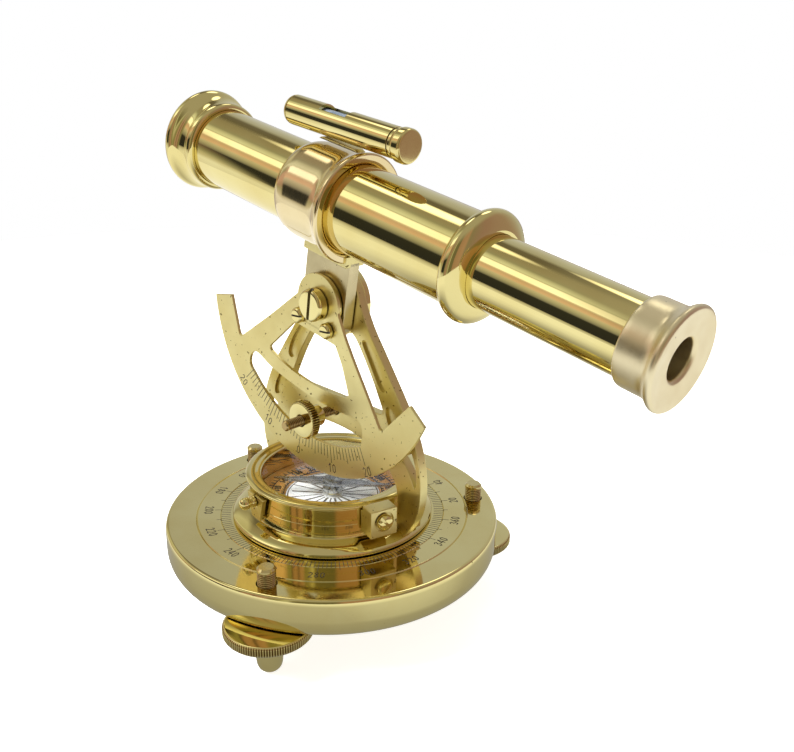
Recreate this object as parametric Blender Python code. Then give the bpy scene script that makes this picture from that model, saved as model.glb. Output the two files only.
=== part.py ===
"""Brass theodolite: levelling base, compass, A-frame, tilting telescope with level and vertical arc.

Metres, +Z up. The origin is the centre of the base plate's flat underside, +X runs along the
telescope towards the eyepiece, and the vertical arc is on the -Y side of the frame.
Lengths below are in millimetres and go through mm() once.
"""

import math

import bmesh
import bpy
from mathutils import Matrix, Vector

MM = 0.001
GAP = 0.3  # air between two pieces that touch in the real thing
ROUND = 36  # facets of a large turned piece
SMALL = 16  # facets of a screw or a pin

# Base and levelling screws
BASE_R = 52.4
BASE_T = 13.3
GROOVE_R = 42.8
SPINDLE_R = 6.0
SPINDLE_FLOOR = 4.0
PAD_R = 30.0  # the raised centre of the underside, clear of the wheels
RIM_Z = 1.1
SCREW_CIRCLE_R = 46.2
SCREW_ANGLES = {"a": -64.5, "b": 55.5, "c": 175.5}
STUD_R = 2.7
STUD_TOP = 18.6
WHEEL_R = 13.0
WHEEL_TOP = RIM_Z - GAP
WHEEL_BOTTOM = -2.4
FOOT_R = 3.9
FOOT_TIP = -15.6

# Compass
FLANGE_R = 31.6
FLANGE_TOP = 16.2
WALL_R = 26.0
WALL_INNER_R = 24.2
WALL_TOP = 26.6
BOX_FLOOR = 17.6
BEZEL_R = 27.1
BEZEL_INNER_R = 22.2
BEZEL_TOP = 28.2
CARD_R = 14.9
NEEDLE_Z = 22.4
NEEDLE_HALF = 19.0
NEEDLE_W = 2.7
NEEDLE_ANGLE = 38.0
DIAL_T = 0.7

# Lugs on the compass wall
LUG_RIGHT_ANGLE = -14.0
LUG_LEFT_ANGLE = -97.7
LUG_SCREW_Z = 24.2
LUG_OUT = 32.6
LUG_BOTTOM = 19.4
LUG_TOP = 28.0
LUG_HALF = 4.3
LUG_PIN_Z = 24.6
PIN_BORE_R = 1.7

# Frame, a flat casting that stands across the compass
FRAME_FRONT = 1.3
FRAME_BACK = 4.3
HEAD_BACK = 6.3
PIVOT_Z = 82.2
PIVOT_R = 2.3
STUD_Z = 47.3
HEAD_R = 11.0
FOOT_SCREW_X = 29.2
FOOT_SCREW_Y = 6.4
SCALLOP_DEPTH = 0.8
CLAMP_STUD_R = 1.6
THROUGH = 8.0  # a cutter reaches this far from the frame's front plane

# Telescope, in a frame of its own: u along the tube, w up, both from the tilt axis
TILT_DOWN = 10.03  # degrees by which the eyepiece end hangs below level
AXIS_RISE = 30.68
AXIS_Y = -0.9
PIVOT_S = 5.43  # the tilt axis is this far along the tube from the tube's zero station
FRONT_R = 11.8
MAIN_R = 12.5
DRAW_R = 9.57
TONGUE_FRONT = -2.8
TONGUE_BACK = 1.0
TONGUE_HALF = 9.3
PAD_HALF = 3.5
SECTOR_FRONT = -5.1
SECTOR_BACK = -4.1
HUB_BACK = -3.1
SECTOR_CUT = (-7.0, -1.0)  # from front to back, a cutter right through the arc and its hub
SECTOR_SCREWS = ((-7.1, -6.4), (5.8, -6.2))
SECTOR_HOLE_R = 1.5
DRAW_END = 109.7

# Level
LEVEL_S = 5.85
LEVEL_RISE = 20.7
LEVEL_SLOPE = 2.2
LEVEL_R = 4.2


def mm(*values):
    return tuple(value * MM for value in values)


def clear_scene():
    for obj in list(bpy.data.objects):
        bpy.data.objects.remove(obj, do_unlink=True)


def material(name, colour, roughness, metallic, transmission=0.0):
    made = bpy.data.materials.new(name)
    made.use_nodes = True
    shader = made.node_tree.nodes["Principled BSDF"]
    shader.inputs["Base Color"].default_value = (*colour, 1.0)
    shader.inputs["Roughness"].default_value = roughness
    shader.inputs["Metallic"].default_value = metallic
    shader.inputs["Transmission Weight"].default_value = transmission
    made.diffuse_color = (*colour, 1.0)
    return made


def finish(name, mesh_data, slot, parent=None, matrix=None):
    """Turns a bmesh into a named, closed, outward-facing object with one material."""
    bmesh.ops.recalc_face_normals(mesh_data, faces=mesh_data.faces)
    mesh = bpy.data.meshes.new(name)
    mesh_data.to_mesh(mesh)
    mesh_data.free()
    mesh.shade_smooth()
    mesh.set_sharp_from_angle(angle=math.radians(35))
    obj = bpy.data.objects.new(name, mesh)
    bpy.context.scene.collection.objects.link(obj)
    if slot is not None:
        mesh.materials.append(slot)
    if parent is not None:
        obj.parent = parent
    if matrix is not None:
        obj.matrix_local = matrix
    return obj


def lathe(name, profile, slot, parent=None, matrix=None, segments=ROUND):
    """Turns a closed outline of (radius, height) points about Z. Radius 0 closes a flat end or makes a tip."""
    made = bmesh.new()
    rings = []
    for radius, height in profile:
        ring = []
        for step in range(segments if radius else 0):
            angle = 2 * math.pi * step / segments
            ring.append(made.verts.new(mm(radius * math.cos(angle), radius * math.sin(angle), height)))
        rings.append((height, ring))
    for (low, first), (high, second) in zip(rings, rings[1:] + rings[:1]):
        if first and second:
            for step in range(segments):
                after = (step + 1) % segments
                made.faces.new((first[step], first[after], second[after], second[step]))
        elif first or second:
            ring = first or second
            if low == high:
                made.faces.new(ring)
                continue
            tip = made.verts.new(mm(0, 0, low if second else high))
            for step in range(segments):
                made.faces.new((ring[step], ring[(step + 1) % segments], tip))
    return finish(name, made, slot, parent, matrix)


def prism(name, outline, front, back, slot, parent=None, matrix=None):
    """A flat plate: an outline of (x, z) points, from y = front to y = back."""
    made = bmesh.new()
    near = [made.verts.new(mm(x, front, z)) for x, z in outline]
    far = [made.verts.new(mm(x, back, z)) for x, z in outline]
    made.faces.new(near)
    made.faces.new(far[::-1])
    count = len(outline)
    for step in range(count):
        after = (step + 1) % count
        made.faces.new((near[step], far[step], far[after], near[after]))
    return finish(name, made, slot, parent, matrix)


def helper(obj):
    obj.hide_render = True
    obj.display_type = "WIRE"
    return obj


def boolean(target, tool, operation):
    modifier = target.modifiers.new(operation.title() + " " + tool.name, "BOOLEAN")
    modifier.operation = operation
    modifier.solver = "EXACT"
    modifier.object = helper(tool)


def along(axis, offset=(0, 0, 0)):
    """Lays a lathe's Z along another axis, with its zero at offset in millimetres."""
    turn = Vector((0, 0, 1)).rotation_difference(Vector(axis)).to_matrix().to_4x4()
    return Matrix.Translation(mm(*offset)) @ turn


def around_z(angle, offset=(0, 0, 0)):
    return Matrix.Rotation(math.radians(angle), 4, "Z") @ Matrix.Translation(mm(*offset))


def arc(centre, radius, start, stop, steps):
    """Points on a circle in a plate's plane. Angles are degrees from +x towards +z."""
    points = []
    for step in range(steps + 1):
        angle = math.radians(start + (stop - start) * step / steps)
        points.append((centre[0] + radius * math.cos(angle), centre[1] + radius * math.sin(angle)))
    return points


def mirrored(half):
    """A whole outline from its right half, listed from the top centre to the bottom centre."""
    return half + [(-x, z) for x, z in reversed(half) if x > 0]


def rod(name, centre, radius, front, back, parent=None, segments=SMALL):
    """A hidden cutter along Y through (x, z)."""
    profile = [(0, 0), (radius, 0), (radius, back - front), (0, back - front)]
    return lathe(name, profile, None, parent, along((0, 1, 0), (centre[0], front, centre[1])), segments)


def slotted(target, name, centre, length, width, depth, matrix, parent=None):
    """Cuts a screwdriver slot in a head whose top is at height centre on the screw's own Z."""
    half = (length / 2, width / 2)
    outline = [(-half[0], centre - depth), (half[0], centre - depth), (half[0], centre + 1), (-half[0], centre + 1)]
    boolean(target, prism(name, outline, -half[1], half[1], None, parent, matrix), "DIFFERENCE")


def base_plate(brass):
    floor = SPINDLE_FLOOR
    profile = [
        (0, 0), (PAD_R - 0.5, 0), (PAD_R, 0.5), (PAD_R, RIM_Z), (50.2, RIM_Z), (51.4, 2.2), (BASE_R, 4.6),
        (BASE_R, 10.4), (51.8, 12.2), (50.6, BASE_T),
        (GROOVE_R + 0.5, BASE_T), (GROOVE_R, BASE_T - 0.5), (GROOVE_R - 0.5, BASE_T),
        (SPINDLE_R + GAP, BASE_T), (SPINDLE_R + GAP, floor), (0, floor),
    ]
    plate = lathe("base_plate", profile, brass, segments=56)
    for key, angle in SCREW_ANGLES.items():
        hole = [(0, -1), (STUD_R + GAP, -1), (STUD_R + GAP, BASE_T + 1), (0, BASE_T + 1)]
        tool = lathe("stud_hole_" + key, hole, None, None, around_z(angle, (SCREW_CIRCLE_R, 0, 0)), SMALL)
        boolean(plate, tool, "DIFFERENCE")


def levelling_screw(key, angle, brass):
    """The threaded stud, its knurled wheel and the foot, with their origin on the screw's axis."""
    axis = bpy.data.objects.new("levelling_axis_" + key, None)
    axis.matrix_world = around_z(angle, (SCREW_CIRCLE_R, 0, 0))
    bpy.context.scene.collection.objects.link(axis)
    seat = WHEEL_TOP - 1.6
    stud = [
        (0, seat + GAP), (STUD_R, seat + GAP), (STUD_R, STUD_TOP - 0.6), (STUD_R - 0.6, STUD_TOP), (0, STUD_TOP),
    ]
    lathe("levelling_stud_" + key, stud, brass, axis, segments=16)
    wheel = [
        (0, WHEEL_BOTTOM), (WHEEL_R - 0.8, WHEEL_BOTTOM), (WHEEL_R, WHEEL_BOTTOM + 0.7),
        (WHEEL_R, WHEEL_TOP - 0.7), (WHEEL_R - 0.8, WHEEL_TOP), (STUD_R + GAP, WHEEL_TOP), (STUD_R + GAP, seat),
        (0, seat),
    ]
    lathe("levelling_wheel_" + key, wheel, brass, axis, segments=28)
    top = WHEEL_BOTTOM - GAP
    foot = [
        (0, top), (5.8, top), (5.0, top - 1.2), (4.3, top - 3.2), (FOOT_R, top - 6.0),
        (FOOT_R, FOOT_TIP + 3.6), (FOOT_R - 0.5, FOOT_TIP + 2.0), (FOOT_R - 1.7, FOOT_TIP + 0.6),
        (1.0, FOOT_TIP), (0, FOOT_TIP),
    ]
    lathe("levelling_foot_" + key, foot, brass, axis, segments=SMALL)


def compass(brass, copper, card, steel, glass):
    under = BASE_T + GAP
    neck = SPINDLE_R / 2
    spindle = [
        (0, SPINDLE_FLOOR + GAP), (SPINDLE_R, SPINDLE_FLOOR + GAP), (SPINDLE_R, BASE_T - GAP),
        (neck, BASE_T - GAP), (neck, under + 2.0), (0, under + 2.0),
    ]
    lathe("azimuth_spindle", spindle, brass, segments=SMALL)
    housing = [
        (neck + GAP, under), (FLANGE_R - 0.6, under), (FLANGE_R, under + 0.6), (FLANGE_R, FLANGE_TOP - 0.6),
        (FLANGE_R - 0.6, FLANGE_TOP), (WALL_R + 0.4, FLANGE_TOP), (WALL_R, FLANGE_TOP + 0.5), (WALL_R, WALL_TOP),
        (WALL_INNER_R, WALL_TOP), (WALL_INNER_R, BOX_FLOOR), (0, BOX_FLOOR), (0, under + 2.3),
        (neck + GAP, under + 2.3),
    ]
    lathe("compass_housing", housing, brass, segments=44)
    seat = WALL_TOP + GAP
    bezel = [
        (BEZEL_INNER_R, seat), (BEZEL_R - 0.2, seat), (BEZEL_R, seat + 0.4), (BEZEL_R - 0.2, BEZEL_TOP - 0.4),
        (BEZEL_R - 1.0, BEZEL_TOP), (BEZEL_R - 2.4, BEZEL_TOP), (BEZEL_R - 2.9, BEZEL_TOP - 0.5),
        (BEZEL_INNER_R + 0.7, BEZEL_TOP - 0.4), (BEZEL_INNER_R, BEZEL_TOP - 0.9),
    ]
    lathe("compass_bezel", bezel, brass, segments=44)
    clear = WALL_INNER_R - GAP
    pane = [(0, WALL_TOP - 1.4), (clear, WALL_TOP - 1.4), (clear, WALL_TOP), (0, WALL_TOP)]
    lathe("compass_glass", pane, glass)
    low = BOX_FLOOR + GAP
    ring = [
        (CARD_R + GAP, low), (clear, low), (clear, low + 1.3), (clear - 0.5, low + 1.5), (CARD_R + GAP, low + 1.0),
    ]
    lathe("dial_ring", ring, copper)
    lathe("dial_card", [(0, low), (CARD_R, low), (CARD_R, low + DIAL_T), (0, low + DIAL_T)], card)
    compass_needle(low + DIAL_T + GAP, brass, steel)


def compass_needle(post, brass, steel):
    """The pin that stands at height post, the needle that swings on it and the needle's cap."""
    pin = [
        (0, post), (1.8, post), (1.8, post + 0.5), (0.8, post + 0.9), (0.6, NEEDLE_Z - 0.1), (0, NEEDLE_Z + 0.6),
    ]
    lathe("needle_pin", pin, brass, segments=12)
    tips = [
        (-NEEDLE_HALF, 0), (-3.0, -NEEDLE_W), (3.0, -NEEDLE_W), (NEEDLE_HALF, 0), (3.0, NEEDLE_W), (-3.0, NEEDLE_W),
    ]
    turned = Matrix.Rotation(math.radians(NEEDLE_ANGLE), 4, "Z") @ Matrix.Rotation(math.radians(90), 4, "X")
    needle = prism("compass_needle", tips, NEEDLE_Z, NEEDLE_Z + 0.7, steel, None, turned)
    hole = [(0, NEEDLE_Z - 1), (2.3, NEEDLE_Z - 1), (2.3, NEEDLE_Z + 2), (0, NEEDLE_Z + 2)]
    boolean(needle, lathe("needle_hole", hole, None, segments=SMALL), "DIFFERENCE")
    cap = [
        (1.2, NEEDLE_Z - 0.6), (2.0, NEEDLE_Z - 0.6), (2.0, NEEDLE_Z + 0.9), (3.1, NEEDLE_Z + 1.0),
        (3.1, NEEDLE_Z + 1.5), (2.0, NEEDLE_Z + 2.1), (0, NEEDLE_Z + 2.3), (0, NEEDLE_Z + 1.2),
        (1.2, NEEDLE_Z + 0.3),
    ]
    lathe("needle_cap", cap, steel, segments=SMALL)


def lugs(brass):
    """A block with a clamping screw and a thin pad with a ball-ended pin, both on the compass wall."""
    near = WALL_R + GAP + 0.1
    clear = BEZEL_R + GAP
    outline = [
        (near, LUG_BOTTOM), (LUG_OUT, LUG_BOTTOM), (LUG_OUT, LUG_TOP), (clear, LUG_TOP), (clear, WALL_TOP - 0.2),
        (near, WALL_TOP - 0.2),
    ]
    block = prism("lug_right", outline, -LUG_HALF, LUG_HALF, brass, None, around_z(LUG_RIGHT_ANGLE))
    centre = around_z(LUG_RIGHT_ANGLE) @ along((1, 0, 0), (28.0, 0, LUG_SCREW_Z))
    bore = [(0, -0.4), (PIN_BORE_R, -0.4), (PIN_BORE_R, 3.8), (3.2, 3.8), (3.2, 6), (0, 6)]
    boolean(block, lathe("lug_right_bore", bore, None, None, centre, SMALL), "DIFFERENCE")
    head = [(0, 0), (1.4, 0), (1.4, 4.2), (2.4, 4.2), (2.5, 5.4), (2.0, 6.3), (0, 6.6)]
    screw = lathe("lug_screw", head, brass, None, centre, SMALL)
    tilted = centre @ Matrix.Rotation(math.radians(40), 4, "Z")
    slotted(screw, "lug_screw_slot", 6.6, 8, 0.8, 1.0, tilted)

    radial = around_z(LUG_LEFT_ANGLE) @ Matrix.Rotation(math.radians(-90), 4, "Z")
    pad = [(-4.6, WALL_TOP - 0.3), (4.6, WALL_TOP - 0.3), (2.4, 18.6), (-2.4, 18.6)]
    block = prism("lug_left", pad, near, near + 1.4, brass, None, radial)
    centre = around_z(LUG_LEFT_ANGLE) @ along((1, 0, 0), (26.7, 0, LUG_PIN_Z))
    bore = [(0, -2), (PIN_BORE_R, -2), (PIN_BORE_R, 4), (0, 4)]
    boolean(block, lathe("lug_left_bore", bore, None, None, centre, SMALL), "DIFFERENCE")
    ball = [
        (0, 0), (1.3, 0), (1.3, 1.5), (1.8, 1.5), (1.8, 2.6), (1.3, 2.9), (1.8, 3.5), (2.0, 4.4), (1.8, 5.3),
        (1.1, 6.1), (0, 6.3),
    ]
    lathe("lug_pin", ball, brass, None, centre, SMALL)


def frame_outline():
    foot = FLANGE_TOP + GAP
    head = [(0, PIVOT_Z + HEAD_R)] + arc((0, PIVOT_Z), HEAD_R, 78, 18, 6)
    outer = [
        (11.9, 81.6), (14.8, 76.1), (19.3, 70.0), (24.2, 63.2), (28.6, 57.0), (32.0, 51.4), (34.6, 46.0),
        (36.4, 40.2), (37.2, 34.2), (37.0, 28.2), (35.6, 22.8), (33.2, 18.8), (31.0, foot),
    ]
    inner = [(27.6, foot), (27.6, 28.8), (26.4, 32.0), (22.4, 36.6), (15.6, 40.2), (8.0, 42.0), (0, 42.4)]
    return mirrored(head + outer + inner)


def frame_leg(plate, tag, side):
    """The crescent hole, the two scallops and the screwed foot of one leg."""
    crescent = [
        (28.8, 40.6), (31.2, 38.2), (33.2, 35.2), (34.5, 32.4), (35.1, 33.2), (35.0, 37.0), (34.2, 41.0), (33.0, 43.2),
    ]
    scallop = [
        (12.0, 72.6), (14.2, 73.0), (17.4, 69.8), (20.6, 65.0), (22.5, 60.8), (22.1, 59.0), (20.3, 58.6),
        (18.4, 61.4), (14.8, 67.4), (12.6, 70.8),
    ]
    hollow = [
        (22.2, 54.4), (24.0, 55.2), (26.2, 53.4), (28.8, 49.6), (30.4, 45.4), (29.8, 43.6), (27.4, 44.8),
        (24.4, 47.8), (22.4, 51.4),
    ]
    scallop_back = FRAME_FRONT + SCALLOP_DEPTH
    for name, outline, back in (
        ("crescent_", crescent, THROUGH), ("scallop_", scallop, scallop_back), ("hollow_", hollow, scallop_back),
    ):
        tool = prism(name + tag, [(side * x, z) for x, z in outline], 0, back, None)
        boolean(plate, tool, "DIFFERENCE")
    low = FLANGE_TOP + GAP
    foot = [(27.6, low), (30.8, low), (30.8, 18.6), (27.6, 18.6)]
    tab = prism("tab_" + tag, [(side * x, z) for x, z in foot], FRAME_BACK - 1, 8.6, None)
    boolean(plate, tab, "UNION")
    drill = [(0, 10), (1.2, 10), (1.2, 22), (0, 22)]
    place = Matrix.Translation(mm(side * FOOT_SCREW_X, FOOT_SCREW_Y, 0))
    boolean(plate, lathe("foot_bore_" + tag, drill, None, None, place, SMALL), "DIFFERENCE")


def frame(brass):
    plate = prism("frame", frame_outline(), FRAME_FRONT, FRAME_BACK, brass)
    gap = [
        (0, 75.4), (4.6, 75.0), (8.2, 73.6), (10.2, 71.6), (13.2, 67.2), (16.8, 61.4), (20.8, 53.6), (21.0, 52.4),
        (20.2, 51.6), (0, 51.6),
    ]
    boolean(plate, prism("frame_gap", mirrored(gap), 0, THROUGH, None), "DIFFERENCE")
    for tag, side in (("left", -1), ("right", 1)):
        frame_leg(plate, tag, side)
        head = [(0, 16.6), (0.9, 16.6), (0.9, 18.9), (1.5, 18.9), (1.5, 19.6), (1.0, 20.0), (0, 20.0)]
        place = Matrix.Translation(mm(side * FOOT_SCREW_X, FOOT_SCREW_Y, 0))
        lathe("foot_screw_" + tag, head, brass, None, place, SMALL)
    boss = rod("head_boss", (0, PIVOT_Z), HEAD_R - 0.1, FRAME_BACK - 1, HEAD_BACK, segments=ROUND)
    boolean(plate, boss, "UNION")
    boolean(plate, rod("frame_bore", (0, PIVOT_Z), PIVOT_R + GAP, 0, THROUGH), "DIFFERENCE")
    boolean(plate, rod("frame_stud_bore", (0, STUD_Z), CLAMP_STUD_R + GAP, 0, THROUGH), "DIFFERENCE")


def clamp(brass):
    """The threaded stud on the frame and the knurled nut that pinches the arc."""
    stud = [
        (0, -18.6), (CLAMP_STUD_R - 0.4, -18.6), (CLAMP_STUD_R, -18.2), (CLAMP_STUD_R, FRAME_BACK + GAP),
        (3.2, FRAME_BACK + GAP), (3.2, 6.2), (2.6, 6.8), (0, 6.8),
    ]
    lathe("clamp_stud", stud, brass, None, along((0, 1, 0), (0, 0, STUD_Z)), SMALL)
    bore = CLAMP_STUD_R + GAP
    nut = [
        (bore, -12.4), (5.4, -12.4), (6.0, -11.8), (6.0, -9.8), (5.4, -9.2), (3.3, -9.0), (3.3, SECTOR_FRONT - GAP),
        (bore, SECTOR_FRONT - GAP),
    ]
    lathe("clamp_nut", nut, brass, None, along((0, 1, 0), (0, 0, STUD_Z)), 32)


def pivot(brass):
    """The slotted tilt screw and the round nut behind the frame's head."""
    face = SECTOR_FRONT - GAP
    screw = [
        (0, -8.5), (4.4, -8.5), (4.9, -8.0), (4.9, face), (PIVOT_R, face), (PIVOT_R, 9.0), (PIVOT_R - 0.5, 9.5),
        (0, 9.5),
    ]
    place = along((0, 1, 0), (0, 0, PIVOT_Z))
    bolt = lathe("pivot_screw", screw, brass, None, place, 32)
    outline = [(-0.6, -6), (0.6, -6), (0.6, 6), (-0.6, 6)]
    lean = Matrix.Translation(mm(0, 0, PIVOT_Z)) @ Matrix.Rotation(math.radians(8), 4, "Y")
    boolean(bolt, prism("pivot_slot", outline, -9.5, -7.3, None, None, lean), "DIFFERENCE")
    back = HEAD_BACK + GAP
    nut = [(PIVOT_R + GAP, back), (4.6, back), (4.6, back + 1.6), (4.0, back + 2.2), (PIVOT_R + GAP, back + 2.2)]
    lathe("pivot_nut", nut, brass, None, place, SMALL)


def station(s):
    """u of a point that is s along the tube from the tube's zero station."""
    return s - PIVOT_S


def tube_profile(outer, inner):
    """A turned section from lists of (station, radius), outside then inside."""
    return [(radius, station(s)) for s, radius in outer] + [(radius, station(s)) for s, radius in reversed(inner)]


def collar(brass, tilt, lay):
    """The sleeve that holds both tubes, with the flat pad and the tongue under it."""
    barrel = [
        (-7.5, 0), (-7.5, 12.8), (-6.8, 13.4), (-3.0, 13.9), (4.0, 14.2), (9.0, 14.4), (11.0, 14.9), (12.6, 15.7),
        (13.6, 15.8), (14.0, 15.4), (14.0, 0),
    ]
    body = lathe("collar", tube_profile(barrel, []), brass, tilt, lay)
    pad = [(-TONGUE_HALF, 14.2), (TONGUE_HALF, 14.2), (TONGUE_HALF, 17.9), (-TONGUE_HALF, 17.9)]
    boolean(body, prism("pad", pad, AXIS_Y - PAD_HALF, AXIS_Y + PAD_HALF, None, tilt), "UNION")
    corner = TONGUE_HALF - 6
    blade = arc((-corner, -4.0), 6, 180, 270, 6) + arc((corner, -4.0), 6, 270, 360, 6)
    blade += [(TONGUE_HALF, 15.4), (-TONGUE_HALF, 15.4)]
    boolean(body, prism("tongue", blade, TONGUE_FRONT, TONGUE_BACK, None, tilt), "UNION")
    wide = MAIN_R + GAP
    flared = MAIN_R + 0.9
    bore = [(-14, 0), (-14, FRONT_R + GAP), (0, FRONT_R + GAP), (0, wide), (11.4, wide), (13.0, flared), (15, flared)]
    tool = lathe("collar_bore", tube_profile(bore + [(15, 0)], []), None, tilt, lay)
    boolean(body, tool, "DIFFERENCE")
    boolean(body, rod("tongue_bore", (0, 0), PIVOT_R + GAP, -6, 6, tilt), "DIFFERENCE")
    for tag, spot in zip(("left", "right"), SECTOR_SCREWS):
        boolean(body, rod("tongue_hole_" + tag, spot, SECTOR_HOLE_R, -6, 0, tilt), "DIFFERENCE")


def telescope(brass, glass, tilt):
    lay = along((1, 0, 0), (0, AXIS_Y, AXIS_RISE))
    collar(brass, tilt, lay)

    def turned(name, outer, inner, slot=brass, segments=ROUND):
        return lathe(name, tube_profile(outer, inner), slot, tilt, lay, segments)

    turned("front_tube", [(-55.0, FRONT_R), (-GAP, FRONT_R)], [(-55.0, 10.4), (-GAP, 10.4)])
    turned("main_tube", [(GAP, MAIN_R), (59.7, MAIN_R)], [(GAP, 11.2), (59.7, 11.2)])
    seat = FRONT_R + 0.35
    turned(
        "objective_ring",
        [
            (-60.4, 13.8), (-59.9, 14.6), (-58.6, 15.2), (-57.0, 15.5), (-55.4, 15.4), (-53.8, 14.8),
            (-52.4, 13.8), (-51.4, 13.3), (-49.6, 13.0), (-48.6, 12.6),
        ],
        [(-60.4, 12.4), (-59.0, 11.9), (-56.4, 11.9), (-56.4, 10.4), (-55.3, 10.4), (-55.3, seat), (-48.6, seat)],
    )
    lens = [(-59.8, 0), (-59.5, 6.0), (-58.2, 11.6), (-56.7, 11.6), (-56.7, 0)]
    turned("objective_lens", lens, [], glass, 32)
    turned(
        "tube_end_ring",
        [
            (56.0, 13.1), (56.7, 13.9), (57.7, 14.6), (58.9, 14.8), (60.2, 14.4), (61.3, 13.2), (62.0, 11.6),
            (62.2, 10.5),
        ],
        [(56.0, MAIN_R + GAP), (60.0, MAIN_R + GAP), (60.0, DRAW_R + GAP), (62.2, DRAW_R + GAP)],
    )
    turned("draw_tube", [(40.0, DRAW_R), (DRAW_END, DRAW_R)], [(40.0, 8.3), (DRAW_END, 8.3)])
    rim = DRAW_END + GAP
    turned(
        "eyepiece_cap",
        [
            (104.7, 10.4), (105.2, 10.8), (106.0, 10.9), (111.8, 10.9), (112.8, 11.3), (113.6, 12.0),
            (114.5, 12.5), (115.4, 12.5), (115.75, 12.2),
        ],
        [
            (104.7, DRAW_R + GAP), (rim, DRAW_R + GAP), (rim, 5.0), (114.2, 5.0), (115.0, 5.8), (115.3, 10.6),
            (115.75, 11.2),
        ],
    )
    lens = [(104.0, 0), (104.0, 8.0), (106.2, 8.0), (107.2, 5.0), (107.6, 0)]
    turned("eyepiece_lens", lens, [], glass, SMALL)


def sector(brass, tilt):
    """The vertical arc: hub, two spokes, slotted rim, upward horn and squared end."""
    outline = arc((0, 0), 9.1, 0, 180, 14)
    outline += [(-21.1, -12.3), (-34.6, -25.3), (-35.6, -25.5), (-36.3, -24.6), (-41.3, -13.4)]
    outline += arc((-1.0, -4.0), 50.4, 194.5, 344.5, 36)
    outline += [(41.2, -13.8), (32.6, -26.4), (31.4, -26.6), (25.2, -19.4), (18.4, -11.9), (13.4, -6.1)]
    plate = prism("sector_arc", outline, SECTOR_FRONT, SECTOR_BACK, brass, tilt)
    front, back = SECTOR_CUT
    boss = rod("sector_boss", (0, 0), 8.6, SECTOR_BACK - 0.5, HUB_BACK, tilt, 28)
    boolean(plate, boss, "UNION")
    window = [
        (-9.2, -9.6), (9.4, -9.4), (13.2, -14.2), (17.5, -22.3), (16.6, -23.5), (9.6, -25.2), (0, -26.0),
        (-8.0, -25.9), (-15.0, -24.9), (-19.4, -23.7), (-19.9, -22.5),
    ]
    boolean(plate, prism("sector_window", window, front, back, None, tilt), "DIFFERENCE")
    slot = [
        (-25.6, -27.6), (-19.0, -29.3), (-10.0, -30.1), (0, -30.5), (10.0, -29.9), (17.4, -28.8), (21.6, -27.7),
        (24.2, -28.8), (25.0, -31.6),
    ]
    slot += arc((-0.6, -0.8), 43.2, -53.5, -126.5, 18)
    slot += [(-29.4, -33.2), (-28.6, -29.6), (-27.2, -27.9)]
    boolean(plate, prism("sector_slot", slot, front, back, None, tilt), "DIFFERENCE")
    boolean(plate, rod("sector_bore", (0, 0), PIVOT_R + GAP, front, back, tilt), "DIFFERENCE")
    sector_screws(plate, brass, tilt)


def sector_screws(plate, brass, tilt):
    """The two small slotted screws that hold the arc's hub to the tongue, and their holes."""
    front, back = SECTOR_CUT
    face = SECTOR_FRONT - GAP
    for tag, spot in zip(("left", "right"), SECTOR_SCREWS):
        boolean(plate, rod("sector_hole_" + tag, spot, SECTOR_HOLE_R, front, back, tilt), "DIFFERENCE")
        head = [(0, -7.0), (1.6, -7.0), (2.3, -6.5), (2.4, face), (1.2, face), (1.2, -0.3), (0, -0.3)]
        place = along((0, 1, 0), (spot[0], 0, spot[1]))
        screw = lathe("sector_screw_" + tag, head, brass, tilt, place, SMALL)
        cut = Matrix.Translation(mm(spot[0], 0, spot[1])) @ Matrix.Rotation(math.radians(75), 4, "Y")
        slot = [(-0.3, -3), (0.3, -3), (0.3, 3), (-0.3, 3)]
        boolean(screw, prism("sector_screw_slot_" + tag, slot, -8, -6.4, None, tilt, cut), "DIFFERENCE")


def level(brass, vial, tilt):
    """The spirit level, on its own slightly sloping axis above the collar."""
    slope = Matrix.Rotation(math.radians(-LEVEL_SLOPE), 4, "Y")
    at = Matrix.Translation(mm(station(LEVEL_S), AXIS_Y, AXIS_RISE + LEVEL_RISE))
    lay = at @ slope @ along((1, 0, 0))
    inner = LEVEL_R - 0.9
    shell = [(inner, -22.0), (LEVEL_R, -22.0), (LEVEL_R, 18.6), (inner, 18.6)]
    tube = lathe("level_tube", shell, brass, tilt, lay, 32)
    sight = [(-9.4, 2.2), (-8.4, 1.0), (0.2, 1.0), (1.2, 2.2), (1.2, 6.0), (-9.4, 6.0)]
    boolean(tube, prism("level_sight", sight, -2.3, 2.3, None, tilt, at @ slope), "DIFFERENCE")
    end = -22.0 - GAP
    plug = [(0, end), (LEVEL_R, end), (LEVEL_R - 0.3, -23.1), (LEVEL_R - 1.3, -23.8), (0, -23.9)]
    lathe("level_plug", plug, brass, tilt, lay, 32)
    cap = [
        (0, 18.6 + GAP), (LEVEL_R, 18.6 + GAP), (LEVEL_R, 19.8), (LEVEL_R - 0.4, 20.1), (LEVEL_R + 0.3, 20.6),
        (LEVEL_R + 0.4, 22.9), (LEVEL_R + 0.1, 23.6), (0, 23.6),
    ]
    lathe("level_cap", cap, brass, tilt, lay, 32)
    glass = [(0, -20.0), (2.2, -20.0), (2.9, -19.0), (2.9, 16.6), (2.2, 17.6), (0, 17.6)]
    lathe("level_vial", glass, vial, tilt, lay, SMALL)
    top = AXIS_RISE + LEVEL_RISE - LEVEL_R - 0.5
    low = AXIS_RISE + 15.3
    block = [(-8.0, low), (8.0, low), (7.0, top), (-7.0, top)]
    shifted = Matrix.Translation(mm(station(4.0), AXIS_Y, 0))
    prism("level_saddle", block, -1.6, 1.6, brass, tilt, shifted)


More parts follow.
